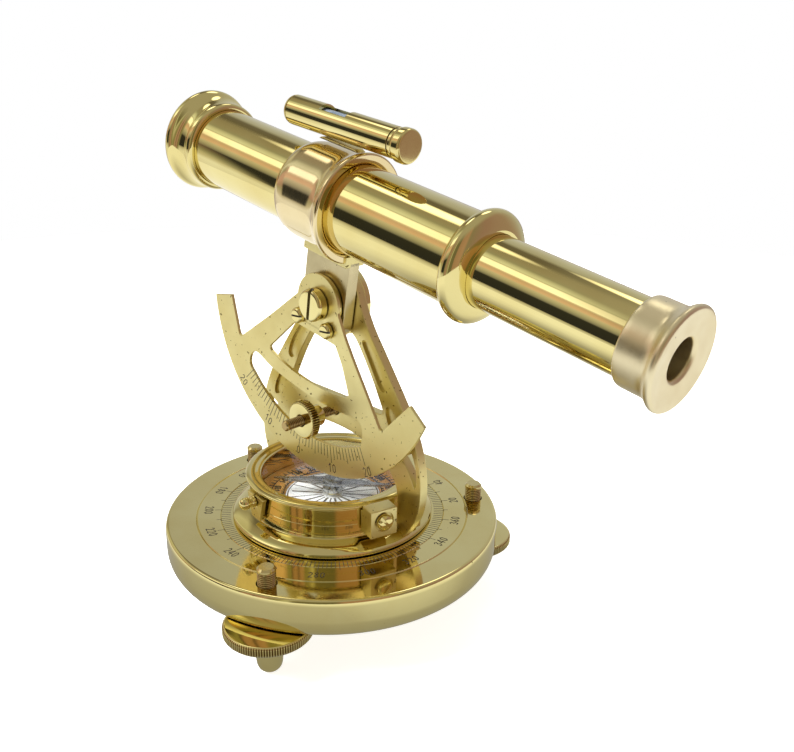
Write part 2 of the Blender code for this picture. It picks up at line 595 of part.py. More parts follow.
def build():
    clear_scene()
    brass = material("polished_brass", (0.79, 0.63, 0.32), 0.16, 1.0)
    copper = material("copper_dial", (0.72, 0.42, 0.18), 0.35, 1.0)
    card = material("white_card", (0.86, 0.88, 0.88), 0.55, 0.0)
    steel = material("needle_steel", (0.42, 0.43, 0.44), 0.3, 1.0)
    glass = material("clear_glass", (0.92, 0.95, 0.95), 0.02, 0.0, 1.0)
    vial = material("level_vial", (0.35, 0.42, 0.46), 0.05, 0.0, 0.6)
    base_plate(brass)
    for key, angle in SCREW_ANGLES.items():
        levelling_screw(key, angle, brass)
    compass(brass, copper, card, steel, glass)
    lugs(brass)
    frame(brass)
    clamp(brass)
    pivot(brass)
    tilt = bpy.data.objects.new("tilt_axis", None)
    tilt.location = mm(0, 0, PIVOT_Z)
    tilt.rotation_euler = (0, math.radians(TILT_DOWN), 0)
    bpy.context.scene.collection.objects.link(tilt)
    telescope(brass, glass, tilt)
    sector(brass, tilt)
    level(brass, vial, tilt)


build()
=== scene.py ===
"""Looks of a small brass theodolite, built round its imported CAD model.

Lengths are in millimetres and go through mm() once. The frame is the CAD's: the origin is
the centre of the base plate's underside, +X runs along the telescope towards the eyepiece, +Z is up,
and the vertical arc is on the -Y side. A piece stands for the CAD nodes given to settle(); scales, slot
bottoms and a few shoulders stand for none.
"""

import math

import bmesh
import bpy
from mathutils import Matrix, Vector

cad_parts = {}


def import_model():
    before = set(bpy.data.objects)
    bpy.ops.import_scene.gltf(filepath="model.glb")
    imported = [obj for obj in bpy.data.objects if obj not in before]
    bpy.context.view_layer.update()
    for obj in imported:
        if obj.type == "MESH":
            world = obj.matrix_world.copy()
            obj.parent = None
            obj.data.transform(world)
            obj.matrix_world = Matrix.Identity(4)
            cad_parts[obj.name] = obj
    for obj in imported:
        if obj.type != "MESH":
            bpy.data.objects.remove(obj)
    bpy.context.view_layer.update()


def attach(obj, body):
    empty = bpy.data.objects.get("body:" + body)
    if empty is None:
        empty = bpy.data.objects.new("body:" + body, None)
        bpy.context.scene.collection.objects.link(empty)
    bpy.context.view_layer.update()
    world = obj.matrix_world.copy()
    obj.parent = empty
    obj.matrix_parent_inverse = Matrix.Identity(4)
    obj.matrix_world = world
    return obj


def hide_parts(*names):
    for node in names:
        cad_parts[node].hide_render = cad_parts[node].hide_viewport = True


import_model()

MM = 0.001
FINE = 192  # facets of a large turned piece
MIDDLE = 96
SMALL = 48
EDGE = 0.22  # usual softening of a turned corner

# Base and levelling screws
BASE_R = 52.4
BASE_T = 13.3
SCREW_CIRCLE_R = 46.2
SCREW_ANGLES = {"a": -64.5, "b": 55.5, "c": 175.5}
STUD_R = 2.7
STUD_TOP = 18.6
WHEEL_R = 13.0
WHEEL_TOP = 0.8
WHEEL_BOTTOM = -2.4
WHEEL_TEETH = 110
TOOTH_FACETS = 6
THREAD_PITCH = 0.6
FOOT_TIP = -15.6

SCALE_SHIFT = 31.5  # where the base scale's 0 stands, in degrees
UNEVEN = 3.0  # how far its numbers stray from even spacing, in degrees
GROOVE_R = 42.8  # turned line outside the numbers
SCALE_R = 35.4  # turned line between the ticks and the numbers

# Compass
FLANGE_R = 31.6
FLANGE_LOW = 13.6
FLANGE_TOP = 16.2
WALL_R = 26.0
WALL_INNER_R = 24.2
WALL_TOP = 26.6
BOX_FLOOR = 17.6
BEZEL_R = 27.1
BEZEL_INNER_R = 22.2
BEZEL_LOW = 26.9
BEZEL_TOP = 28.2
CARD_R = 14.9
DIAL_LOW = 17.9
NEEDLE_Z = 22.4
NEEDLE_ANGLE = 38.0
LUG_RIGHT_ANGLE = -14.0
LUG_LEFT_ANGLE = -97.7

# Frame, clamp and pivot
FRAME_FRONT = 1.3
FRAME_BACK = 4.3
FOOT_SCREW_X = 29.2
FOOT_SCREW_Y = 6.4
PIVOT_Z = 82.2
PIVOT_R = 2.3
STUD_Z = 47.3
NUT_TEETH = 48

# Telescope: S is a place along the tube, RISE a height over the tilt axis
TILT_DOWN = 10.03
AXIS_RISE = 30.68
AXIS_Y = -0.9
PIVOT_S = 5.43
SECTOR_FRONT = -5.1
SECTOR_BACK = -4.1
SECTOR_SCREWS = {"left": (-7.1, -6.4), "right": (5.8, -6.2)}
TICK_R = 44.3  # inner end of the arc's marks
TICK_STEP = 1.82  # degrees
TICK_SHIFT = -1.8
LEVEL_S = 5.85
LEVEL_RISE = 20.7
LEVEL_SLOPE = 2.2
LEVEL_R = 4.2


def mm(*values):
    return tuple(value * MM for value in values)


def moved(x=0.0, y=0.0, z=0.0):
    return Matrix.Translation(mm(x, y, z))


def turned_by(angle, axis):
    return Matrix.Rotation(math.radians(angle), 4, axis)


def along(axis, offset=(0, 0, 0)):
    """Lays local Z along another axis, with its zero at offset."""
    return moved(*offset) @ Vector((0, 0, 1)).rotation_difference(Vector(axis)).to_matrix().to_4x4()


UPRIGHT = turned_by(90, "X")  # a drawing in XY stands up in XZ and faces -Y
TILT = moved(0, 0, PIVOT_Z) @ turned_by(TILT_DOWN, "Y")
TUBE = TILT @ along((1, 0, 0), (-PIVOT_S, AXIS_Y, AXIS_RISE))
LEVEL = TILT @ moved(LEVEL_S - PIVOT_S, AXIS_Y, AXIS_RISE + LEVEL_RISE) @ turned_by(-LEVEL_SLOPE, "Y")


# ---------------------------------------------------------------- mesh helpers

def soften(points, reach):
    """Rounds the corners of an outline. A third value on a point is its own reach, and 0 keeps it sharp."""
    steps = 4
    made = []
    count = len(points)
    for index, point in enumerate(points):
        here = Vector(point[:2])
        back = Vector(points[index - 1][:2]) - here
        ahead = Vector(points[(index + 1) % count][:2]) - here
        own = point[2] if len(point) > 2 else reach
        if own == 0 or back.length == 0 or ahead.length == 0:
            made.append(here)
            continue
        first = here + back * min(own / back.length, 0.5)
        last = here + ahead * min(own / ahead.length, 0.5)
        for step in range(steps + 1):
            share = step / steps
            made.append(first.lerp(here, share).lerp(here.lerp(last, share), share))
    tidy = [made[0]]
    for point in made[1:]:
        if (point - tidy[-1]).length > 1e-4:
            tidy.append(point)
    return [tuple(point) for point in tidy]


def piece(name, mesh_data, matrix=None):
    """An object from a bmesh. Smooth shading with area-weighted normals, so that flats stay flat, is given later by
    dress().
    """
    bmesh.ops.remove_doubles(mesh_data, verts=mesh_data.verts, dist=1e-7)
    bmesh.ops.recalc_face_normals(mesh_data, faces=mesh_data.faces)
    mesh = bpy.data.meshes.new(name)
    mesh_data.to_mesh(mesh)
    mesh_data.free()
    obj = bpy.data.objects.new(name, mesh)
    bpy.context.scene.collection.objects.link(obj)
    if matrix is not None:
        obj.matrix_world = matrix
    return obj


def lathe(name, profile, matrix=None, segments=FINE, edge=EDGE, ripple=None):
    """Turns a closed (radius, height[, reach]) outline about Z. ripple(radius, angle, height) sinks the surface."""
    outline = []
    fixed = [point if point[0] else (*point[:2], 0) for point in profile]
    for radius, height in soften(fixed, edge):
        outline.append((max(radius, 0.0), height))
    made = bmesh.new()
    cavity = made.verts.layers.float.new("cavity")
    rings = []
    for radius, height in outline:
        if radius < 1e-6:
            rings.append([made.verts.new(mm(0, 0, height))])
            continue
        ring = []
        for step in range(segments):
            angle = 2 * math.pi * step / segments
            sunk = ripple(radius, angle, height) if ripple else 0.0
            real = radius - sunk
            point = made.verts.new(mm(real * math.cos(angle), real * math.sin(angle), height))
            point[cavity] = sunk
            ring.append(point)
        rings.append(ring)
    for first, second in zip(rings, rings[1:] + rings[:1]):
        for step in range(segments):
            after = (step + 1) % segments
            if len(first) > 1 and len(second) > 1:
                made.faces.new((first[step], first[after], second[after], second[step]))
            elif len(first) > 1:
                made.faces.new((first[step], first[after], second[0]))
            elif len(second) > 1:
                made.faces.new((first[0], second[after], second[step]))
    return piece(name, made, matrix)


def inset(loop, distance):
    """Moves each point of a loop to its left by a distance, mitred at the corners."""
    moved_points = []
    for index, here in enumerate(loop):
        back = (here - loop[index - 1]).normalized()
        ahead = (loop[(index + 1) % len(loop)] - here).normalized()
        side = Vector((-back.y - ahead.y, back.x + ahead.x))
        moved_points.append(here + side * distance / max(1 + back.dot(ahead), 0.5))
    return moved_points


def plate(name, outline, holes, low, high, matrix=None, bevel=0.12, reach=2.5):
    """A flat plate with rounded edges: outlines in XY, from z = low to z = high."""
    made = bmesh.new()
    steps = 3 if bevel else 0
    levels = []
    for step in range(steps + 1):
        turn = math.pi / 2 * step / max(steps, 1)
        levels.append((bevel * (1 - math.sin(turn)), bevel * (1 - math.cos(turn))))
    heights = [(inward, low + rise) for inward, rise in levels]
    heights += [(inward, high - rise) for inward, rise in levels[::-1]]
    caps = ([], [])
    for index, points in enumerate([outline] + holes):
        loop = [Vector(point) for point in soften(points, reach)]
        if (loop[0] - loop[-1]).length < 1e-3:
            loop.pop()
        area = sum(a.cross(b) for a, b in zip(loop, loop[1:] + loop[:1]))
        if (area > 0) == (index > 0):
            loop.reverse()
        rings = [
            [made.verts.new(mm(*point, height)) for point in inset(loop, inward)] for inward, height in heights
        ]
        for first, second in zip(rings, rings[1:]):
            for step in range(len(loop)):
                after = (step + 1) % len(loop)
                made.faces.new((first[step], first[after], second[after], second[step]))
        for cap, ring in zip(caps, (rings[0], rings[-1])):
            cap += [made.edges.get((ring[step - 1], ring[step])) for step in range(len(ring))]
    for cap, facing in zip(caps, (-1, 1)):
        bmesh.ops.triangle_fill(made, edges=cap, use_beauty=True, normal=(0, 0, facing))
    return piece(name, made, matrix)


def circle(centre, radius, steps=48):
    x, y = centre
    turn = 2 * math.pi / steps
    return [(x + radius * math.cos(turn * k), y + radius * math.sin(turn * k)) for k in range(steps)]


def arc(centre, radius, start, stop, steps):
    points = []
    for step in range(steps + 1):
        angle = math.radians(start + (stop - start) * step / steps)
        points.append((centre[0] + radius * math.cos(angle), centre[1] + radius * math.sin(angle)))
    return points


def mirrored(half):
    """A whole outline from its right half, listed from top centre to bottom centre."""
    return half + [(-point[0], *point[1:]) for point in reversed(half) if point[0] > 0]


def cut(target, tool):
    """Cuts a tool out of a piece, keeps the mesh and removes the tool."""
    modifier = target.modifiers.new("cut", "BOOLEAN")
    modifier.operation = "DIFFERENCE"
    modifier.solver = "EXACT"
    modifier.object = tool
    bpy.context.view_layer.update()
    result = target.evaluated_get(bpy.context.evaluated_depsgraph_get())
    mesh = bpy.data.meshes.new_from_object(result)
    old = target.data
    target.modifiers.clear()
    target.data = mesh
    bpy.data.meshes.remove(old)
    bpy.data.objects.remove(tool)
    return target


def cylinder(radius, low, high, matrix):
    return lathe("tool", [(0, low), (radius, low), (radius, high), (0, high)], matrix, SMALL, edge=0)


def box_tool(half_x, half_y, low, high, matrix):
    outline = [(-half_x, -half_y, 0), (half_x, -half_y, 0), (half_x, half_y, 0), (-half_x, half_y, 0)]
    return plate("tool", outline, [], low, high, matrix, bevel=0, reach=0)


def ease_edges(obj, width):
    """Softens the corners that Booleans left sharp."""
    modifier = obj.modifiers.new("ease", "BEVEL")
    modifier.width = width * MM
    modifier.segments = 2
    modifier.limit_method = "ANGLE"
    modifier.angle_limit = math.radians(40)


def knurl(count, depth, least):
    """A ripple for lathe(): straight grooves along the axis on everything further out than least."""
    def ripple(radius, angle, height):
        return depth * abs((angle * count / math.pi) % 2 - 1) if radius >= least else 0.0
    return ripple


def thread(name, radius, low, high, pitch, matrix, tip=0.6):
    """A screw thread: a helix groove cut in a rod from low to high, with a chamfered end at high."""
    rows = int((high - low) / pitch * 8)
    depth = 0.45 * pitch
    profile = [(0, low)]
    for row in range(rows + 1):
        profile.append((radius, low + (high - low - tip) * row / rows, 0))
    profile += [(radius - tip, high, 0), (0, high)]

    def ripple(own, angle, height):
        if own < radius - 0.01:
            return 0.0
        phase = (height / pitch - angle / (2 * math.pi)) % 1
        run_in = min(max((high - tip - height) / pitch - 0.6, 0.0), 1.0)
        return depth * abs(2 * phase - 1) * run_in

    return lathe(name, profile, matrix, SMALL, 0, ripple)


def strokes(name, lines, width, matrix, height=0.02):
    """Engraved marks filled with dark wax, and dark strips of painted shade in screw slots: each line is a thin bar
    lying on a face.
    """
    made = bmesh.new()
    for start, stop, wide in lines:
        a, b = Vector(start), Vector(stop)
        forward = (b - a).normalized() * wide * width / 2
        side = forward.orthogonal()
        corners = [a - forward + side, a - forward - side, b + forward - side, b + forward + side]
        low = [made.verts.new(mm(*corner, -0.1)) for corner in corners]
        high = [made.verts.new(mm(*corner, height)) for corner in corners]
        made.faces.new(low)
        made.faces.new(high)
        for k in range(4):
            after = (k + 1) % 4
            made.faces.new((low[k], low[after], high[after], high[k]))
    return piece(name, made, matrix)


# Each digit as one line, in x, y pairs: hundredths of its width and height
DIGITS = {
    "0": (15, 80, 50, 100, 85, 80, 85, 20, 50, 0, 15, 20, 15, 80),
    "1": (25, 75, 55, 100, 55, 0),
    "2": (15, 80, 45, 100, 80, 85, 80, 60, 15, 0, 90, 0),
    "3": (15, 90, 50, 100, 80, 80, 45, 55, 85, 30, 50, 0, 12, 12),
    "4": (65, 0, 65, 100, 10, 30, 90, 30),
    "5": (80, 100, 25, 100, 20, 60, 60, 62, 85, 35, 60, 0, 15, 8),
    "6": (75, 100, 25, 60, 15, 25, 50, 0, 85, 25, 55, 52, 20, 35),
    "7": (12, 100, 88, 100, 40, 0),
    "8": (50, 55, 20, 80, 50, 100, 80, 80, 50, 55, 15, 25, 50, 0, 85, 25, 50, 55),
    "9": (80, 65, 50, 48, 15, 75, 50, 100, 85, 75, 75, 40, 25, 0),
}


def number(text, centre, angle, height, width, wide=1.0):
    """The strokes of a number, centred at a point; angle is the way that its top points, from +x."""
    up = Vector((math.cos(math.radians(angle)), math.sin(math.radians(angle))))
    across = Vector((up.y, -up.x))
    lines = []
    for place, digit in enumerate(text):
        left = (place - len(text) / 2) * width
        run = [value / 100 for value in DIGITS[digit]]
        points = [
            Vector(centre) + across * (left + width * (0.1 + 0.8 * x)) + up * height * (y - 0.5)
            for x, y in zip(run[::2], run[1::2])
        ]
        lines += [(a, b, wide) for a, b in zip(points, points[1:])]
    return lines


def around(angle, radius):
    """The point at a radius and an angle in degrees."""
    return Vector((math.cos(math.radians(angle)), math.sin(math.radians(angle)))) * radius


def ray(angle, inner, outer, wide=1.0):
    return (around(angle, inner), around(angle, outer), wide)


def ring_lines(radius, wide=1.0):
    points = [Vector(point) for point in circle((0, 0), radius, 180)]
    return [(a, b, wide) for a, b in zip(points, points[1:] + points[:1])]


# ---------------------------------------------------------------- materials

def fill_ramp(node, stops):
    """Sets a colour ramp's stops from (place, colour) pairs."""
    elements = node.color_ramp.elements
    while len(elements) < len(stops):
        elements.new(0.5)
    for element, (place, colour) in zip(elements, stops):
        element.position = place
        element.color = (*colour, 1.0)


class Nodes:
    """Small shorthand for building one material's node tree."""

    def __init__(self, name):
        self.material = bpy.data.materials.new(name)
        self.material.use_nodes = True
        self.tree = self.material.node_tree
        self.shader = self.tree.nodes["Principled BSDF"]

    def add(self, kind, **settings):
        node = self.tree.nodes.new(kind)
        for key, value in settings.items():
            setattr(node, key, value)
        return node

    def link(self, source, target):
        self.tree.links.new(source, target)

    def coordinates(self, scale):
        place = self.add("ShaderNodeTexCoord")
        mapping = self.add("ShaderNodeMapping")
        mapping.inputs["Scale"].default_value = scale
        self.link(place.outputs["Object"], mapping.inputs["Vector"])
        return mapping.outputs["Vector"]

    def noise(self, scale, size, detail=3.0, rough=0.5):
        node = self.add("ShaderNodeTexNoise")
        node.inputs["Scale"].default_value = size
        node.inputs["Detail"].default_value = detail
        node.inputs["Roughness"].default_value = rough
        self.link(self.coordinates(scale), node.inputs["Vector"])
        return node.outputs["Fac"]

    def ramp(self, source, stops):
        node = self.add("ShaderNodeValToRGB")
        fill_ramp(node, stops)
        self.link(source, node.inputs["Fac"])
        return node.outputs["Color"]

    def spread(self, source, low, high, start=0.3, stop=0.7):
        node = self.add("ShaderNodeMapRange")
        node.inputs["From Min"].default_value = start
        node.inputs["From Max"].default_value = stop
        node.inputs["To Min"].default_value = low
        node.inputs["To Max"].default_value = high
        self.link(source, node.inputs["Value"])
        return node.outputs["Result"]

    def multiply(self, first, second):
        node = self.add("ShaderNodeMix", data_type="RGBA", blend_type="MULTIPLY")
        node.inputs["Factor"].default_value = 1.0
        self.link(first, node.inputs["A"])
        self.link(second, node.inputs["B"])
        return node.outputs["Result"]

    def add_values(self, first, second):
        node = self.add("ShaderNodeMath", operation="ADD")
        self.link(first, node.inputs[0])
        self.link(second, node.inputs[1])
        return node.outputs["Value"]

    def fix(self, socket, value):
        self.shader.inputs[socket].default_value = value

    def bump(self, source, strength, distance):
        node = self.add("ShaderNodeBump")
        node.inputs["Strength"].default_value = strength
        node.inputs["Distance"].default_value = distance * MM
        self.link(source, node.inputs["Height"])
        self.link(node.outputs["Normal"], self.shader.inputs["Normal"])


def metal(name, light, dark, low, high, grain, bump, specks=0.0):
    """Polished metal: large soft stains, fine marks along grain, small dark pits, and grooves darkened partly as
    grime and partly as painted shade.
    """
    nodes = Nodes(name)
    stains = nodes.noise((1, 1, 1), 55, 4)
    marks = nodes.noise(grain, 260, 3, 0.6)
    colour = nodes.ramp(stains, [(0.32, dark), (0.62, light)])
    rough = nodes.add_values(nodes.spread(marks, low, high), nodes.spread(stains, 0.03, 0.0))
    if specks:
        pits = nodes.noise((1, 1, 1), 900, 2, 0.4)
        spotted = nodes.ramp(pits, [(specks, (0.25, 0.22, 0.16)), (specks + 0.035, (1, 1, 1))])
        colour = nodes.multiply(colour, spotted)
    sunk = nodes.add("ShaderNodeAttribute", attribute_name="cavity").outputs["Fac"]
    # Knurl grooves and thread roots turn dark brown by their depth: partly grime, partly painted shade for the light
    # they trap.
    colour = nodes.multiply(colour, nodes.ramp(sunk, [(0.05, (1, 1, 1)), (0.2, (0.30, 0.22, 0.14))]))
    nodes.link(colour, nodes.shader.inputs["Base Color"])
    nodes.link(nodes.add_values(rough, sunk), nodes.shader.inputs["Roughness"])
    nodes.fix("Metallic", 1.0)
    nodes.bump(marks, bump, 0.02)
    return nodes.material


def plain(name, light, dark, low, high, metallic=0.0):
    """A painted, printed or bare surface with fine mottling."""
    nodes = Nodes(name)
    grain = nodes.noise((1, 1, 1), 400, 4)
    nodes.link(nodes.ramp(grain, [(0.35, dark), (0.65, light)]), nodes.shader.inputs["Base Color"])
    nodes.link(nodes.spread(grain, low, high), nodes.shader.inputs["Roughness"])
    nodes.fix("Metallic", metallic)
    nodes.bump(grain, 0.15, 0.02)
    return nodes.material


def clear(name, light, dark, alpha):
    """Glass with a faint uneven tint, as from handling."""
    nodes = Nodes(name)
    tint = nodes.ramp(nodes.noise((1, 1, 1), 120, 3), [(0.35, dark), (0.65, light)])
    nodes.link(tint, nodes.shader.inputs["Base Color"])
    nodes.fix("Roughness", 0.0)
    nodes.fix("Transmission Weight", 1.0)
    nodes.fix("IOR", 1.5)
    nodes.fix("Alpha", alpha)
    return nodes.material


BRASS_LIGHT = (0.83, 0.73, 0.34)
BRASS_DARK = (0.78, 0.66, 0.28)
TURNED = metal("brass_turned", BRASS_LIGHT, BRASS_DARK, 0.035, 0.06, (1, 1, 14), 0.03)
DRAWN = metal("brass_drawn", BRASS_LIGHT, BRASS_DARK, 0.03, 0.055, (6, 6, 0.5), 0.03)
FLAT = metal("brass_flat", BRASS_LIGHT, BRASS_DARK, 0.3, 0.37, (1, 1, 1), 0.04, 0.27)
FACED = metal("brass_faced", BRASS_LIGHT, BRASS_DARK, 0.045, 0.08, (1, 1, 14), 0.03, 0.19)
# Rough cast brass for the tongue; its darker colour is also painted shade for the collar's shadow over it.
CAST_AND_SHADED = metal("brass_cast_and_shaded", (0.74, 0.64, 0.38), (0.50, 0.42, 0.23), 0.24, 0.34, (1, 1, 1), 0.1, 0.22)
SATIN = metal("brass_satin", (0.90, 0.80, 0.54), (0.84, 0.72, 0.45), 0.28, 0.38, (1, 1, 14), 0.05, 0.2)
BUFFED = metal("brass_buffed", (0.84, 0.71, 0.42), (0.78, 0.63, 0.35), 0.07, 0.11, (1, 1, 14), 0.04)
THREADED = metal("brass_threaded", (0.80, 0.68, 0.32), (0.62, 0.50, 0.22), 0.1, 0.18, (1, 1, 3), 0.06)
# Dark brass for the clamp stud: partly patina, partly painted shade for the dark room that its threads mirror.
DARK = metal("brass_threads", (0.62, 0.46, 0.20), (0.36, 0.25, 0.10), 0.16, 0.3, (1, 1, 3), 0.1, 0.3)
COPPER = plain("copper_scale", (0.98, 0.56, 0.18), (0.86, 0.44, 0.11), 0.35, 0.5, 0.5)
CARD = plain("white_card", (0.92, 0.96, 0.98), (0.84, 0.90, 0.93), 0.45, 0.6)
STEEL = metal("needle_steel", (0.34, 0.36, 0.38), (0.22, 0.24, 0.26), 0.2, 0.34, (1, 8, 8), 0.08)
# Dark wax filling the engravings; the same colour is also the painted shade in the screw slots.
WAX_AND_SLOT_SHADE = plain("engraving_wax_and_slot_shade", (0.060, 0.048, 0.030), (0.028, 0.022, 0.014), 0.4, 0.6)
INK = plain("printed_black", (0.035, 0.033, 0.030), (0.018, 0.018, 0.018), 0.4, 0.6)
PANE = clear("compass_pane", (1.0, 1.0, 1.0), (0.95, 0.97, 0.97), 0.12)
# Both lenses are dark and opaque: their colour is painted shade for the unlit inside of the tube.
LENS = plain("lens_glass", (0.070, 0.062, 0.075), (0.040, 0.034, 0.042), 0.02, 0.06)
VIAL = plain("level_vial", (0.20, 0.25, 0.31), (0.12, 0.16, 0.21), 0.1, 0.2)


def dress(obj, material):
    """Gives a piece its one material and its shading."""
    obj.data.materials.clear()
    obj.data.materials.append(material)
    obj.data.shade_smooth()
    obj.data.set_sharp_from_angle(angle=math.radians(42))
    weighted = obj.modifiers.new("flats", "WEIGHTED_NORMAL")
    weighted.keep_sharp = True
    return obj


def settle(obj, material, body, *nodes, slot="polished_brass"):
    """A finished piece: its material, the CAD body it rides on and the nodes it stands for. Its slot is not used."""
    dress(obj, material)
    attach(obj, body)
    if nodes:
        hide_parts(*nodes)
    return obj


def turned(node, profile, body, matrix=None, segments=MIDDLE, edge=EDGE, material=TURNED, slot="polished_brass"):
    """A turned piece that stands for one CAD node and is named after it."""
    settle(lathe("fine_" + node, profile, matrix, segments, edge), material, body, node, slot=slot)


# ---------------------------------------------------------------- camera, floor and light

CAMERA_TURN = 49.18  # degrees, from the front towards the eyepiece
CAMERA_RISE = 18.26
CAMERA_DISTANCE = 280.63
CAMERA_TARGET = (0, 0, 70)
CAMERA_TRIM = {"Z": 0.53, "X": 2.25, "Y": 4.02}  # small turns about the camera's own axes, in degrees
FOCAL_LENGTH = 42.33


def camera():
    """Looks at a point over the base, and is then trimmed by small turns about its own axes."""
    turn, rise = math.radians(CAMERA_TURN), math.radians(CAMERA_RISE)
    right = Vector((math.cos(turn), math.sin(turn), 0))
    back = Vector((math.sin(turn) * math.cos(rise), -math.cos(turn) * math.cos(rise), math.sin(rise)))
    up = back.cross(right)
    base = Matrix((right, up, back))
    roll, pitch, yaw = (turned_by(angle, axis) for axis, angle in CAMERA_TRIM.items())
    small = (roll @ pitch @ yaw).to_3x3()
    data = bpy.data.cameras.new("camera")
    data.sensor_width = 36
    data.lens = FOCAL_LENGTH
    data.clip_start = 0.005
    data.clip_end = 50
    obj = bpy.data.objects.new("camera", data)
    bpy.context.scene.collection.objects.link(obj)
    place = Vector(CAMERA_TARGET) + back * CAMERA_DISTANCE
    obj.matrix_world = Matrix.Translation(mm(*place)) @ (small @ base).transposed().to_4x4()
    bpy.context.scene.camera = obj


FLOOR_R = 600
MIRRORED_FLOOR_R = 440
FLOOR_GLOW = 0.8
# The mirrored floor's shade, outwards from the object, and where its bright side starts and is full (metres along X)
SHADE = [
    (0.0, (0.22, 0.22, 0.21)), (0.25, (0.42, 0.41, 0.38)), (0.36, (0.68, 0.67, 0.64)), (0.5, (0.92, 0.92, 0.89)),
    (0.75, (1.08, 1.08, 1.05)),
]
SHADE_REACH = 0.3
BRIGHT_FROM, BRIGHT_AT = 0.07, 0.11


def stage():
    """The pale floor that the camera sees, and a shaded copy of it for the brass to mirror."""
    nodes = Nodes("pale_floor")
    grain = nodes.noise((1, 1, 1), 30, 4)
    pale = nodes.ramp(grain, [(0.3, (0.90, 0.90, 0.89)), (0.7, (0.93, 0.93, 0.92))])
    nodes.link(pale, nodes.shader.inputs["Base Color"])
    nodes.link(nodes.spread(grain, 0.6, 0.75), nodes.shader.inputs["Roughness"])
    nodes.fix("Emission Color", (1.0, 1.0, 1.0, 1.0))
    nodes.fix("Emission Strength", FLOOR_GLOW)
    seen = disc("floor", FLOOR_R, FOOT_TIP - 0.05, nodes.material)
    seen.visible_glossy = False

    nodes = Nodes("mirrored_floor")
    place = nodes.add("ShaderNodeTexCoord")
    reach = nodes.add("ShaderNodeVectorMath", operation="LENGTH")
    nodes.link(place.outputs["Object"], reach.inputs[0])
    share = nodes.spread(reach.outputs["Value"], 0.0, 1.0, 0.0, SHADE_REACH)
    glow = nodes.add("ShaderNodeEmission")
    split = nodes.add("ShaderNodeSeparateXYZ")
    nodes.link(place.outputs["Object"], split.inputs[0])
    lit = nodes.add("ShaderNodeMix", data_type="RGBA")
    lit.inputs["B"].default_value = (1.0, 1.0, 0.96, 1.0)
    nodes.link(nodes.spread(split.outputs["X"], 0.0, 0.75, BRIGHT_FROM, BRIGHT_AT), lit.inputs["Factor"])
    nodes.link(nodes.ramp(share, SHADE), lit.inputs["A"])
    nodes.link(lit.outputs["Result"], glow.inputs["Color"])
    nodes.link(glow.outputs["Emission"], nodes.tree.nodes["Material Output"].inputs["Surface"])
    mirrored_floor = disc("floor_mirrored", MIRRORED_FLOOR_R, FOOT_TIP - 0.1, nodes.material)
    mirrored_floor.visible_camera = False
    mirrored_floor.visible_diffuse = False
    mirrored_floor.visible_shadow = False


def disc(name, radius, height, material):
    made = bmesh.new()
    made.faces.new([made.verts.new((*mm(x, y), 0)) for x, y in circle((0, 0), radius, 128)])
    obj = piece(name, made, moved(0, 0, height))
    obj.data.materials.append(material)
    return obj


# The room round the telescope's axis, for what lies along the tube: 0 is the horizon in front, 90 is overhead.
LOW_IN_FRONT = [
    (-180, (0.30, 0.22, 0.21)), (-20, (0.95, 0.95, 0.92)), (-12, (0.62, 0.60, 0.54)), (-9.5, (0.40, 0.37, 0.30)),
    (-8.5, (0.03, 0.03, 0.03)), (15, (0.035, 0.035, 0.03)), (17.5, (0.26, 0.25, 0.22)), (24, (0.48, 0.46, 0.38)),
    (30, (0.66, 0.60, 0.50)), (33, (0.84, 0.58, 0.46)), (41, (0.70, 0.50, 0.40)),
]
WINDOW = [(43.5, (0.85, 0.78, 0.66)), (45, (1.5, 1.45, 1.35)), (57, (1.5, 1.45, 1.35)), (59, (0.55, 0.55, 0.42))]
NO_WINDOW = [(46, (0.62, 0.44, 0.36)), (56, (0.56, 0.42, 0.36))]
OVERHEAD = [
    (61, (0.86, 0.88, 0.76)), (68, (0.66, 0.66, 0.54)), (74, (0.36, 0.35, 0.27)), (82, (0.36, 0.32, 0.24)),
    (96, (0.32, 0.28, 0.20)), (108, (0.16, 0.14, 0.10)), (120, (0.17, 0.15, 0.12)), (126, (0.36, 0.35, 0.32)),
    (131, (0.47, 0.47, 0.47)), (150, (0.56, 0.57, 0.58)), (180, (0.64, 0.64, 0.64)),
]
# The same for what lies beyond the objective's end.
BEYOND = [
    (-180, (0.30, 0.22, 0.21)), (-20, (0.95, 0.95, 0.92)), (-10, (0.66, 0.62, 0.50)), (4, (0.44, 0.42, 0.28)),
    (14, (0.45, 0.32, 0.25)), (28, (0.62, 0.42, 0.35)), (44, (0.62, 0.42, 0.35)), (50, (0.36, 0.34, 0.22)),
    (62, (0.60, 0.58, 0.44)), (66, (0.95, 0.95, 0.85)), (70, (0.55, 0.53, 0.38)), (100, (0.62, 0.60, 0.46)),
    (118, (0.34, 0.31, 0.22)), (134, (0.46, 0.46, 0.42)), (150, (0.56, 0.57, 0.58)), (180, (0.64, 0.64, 0.64)),
]
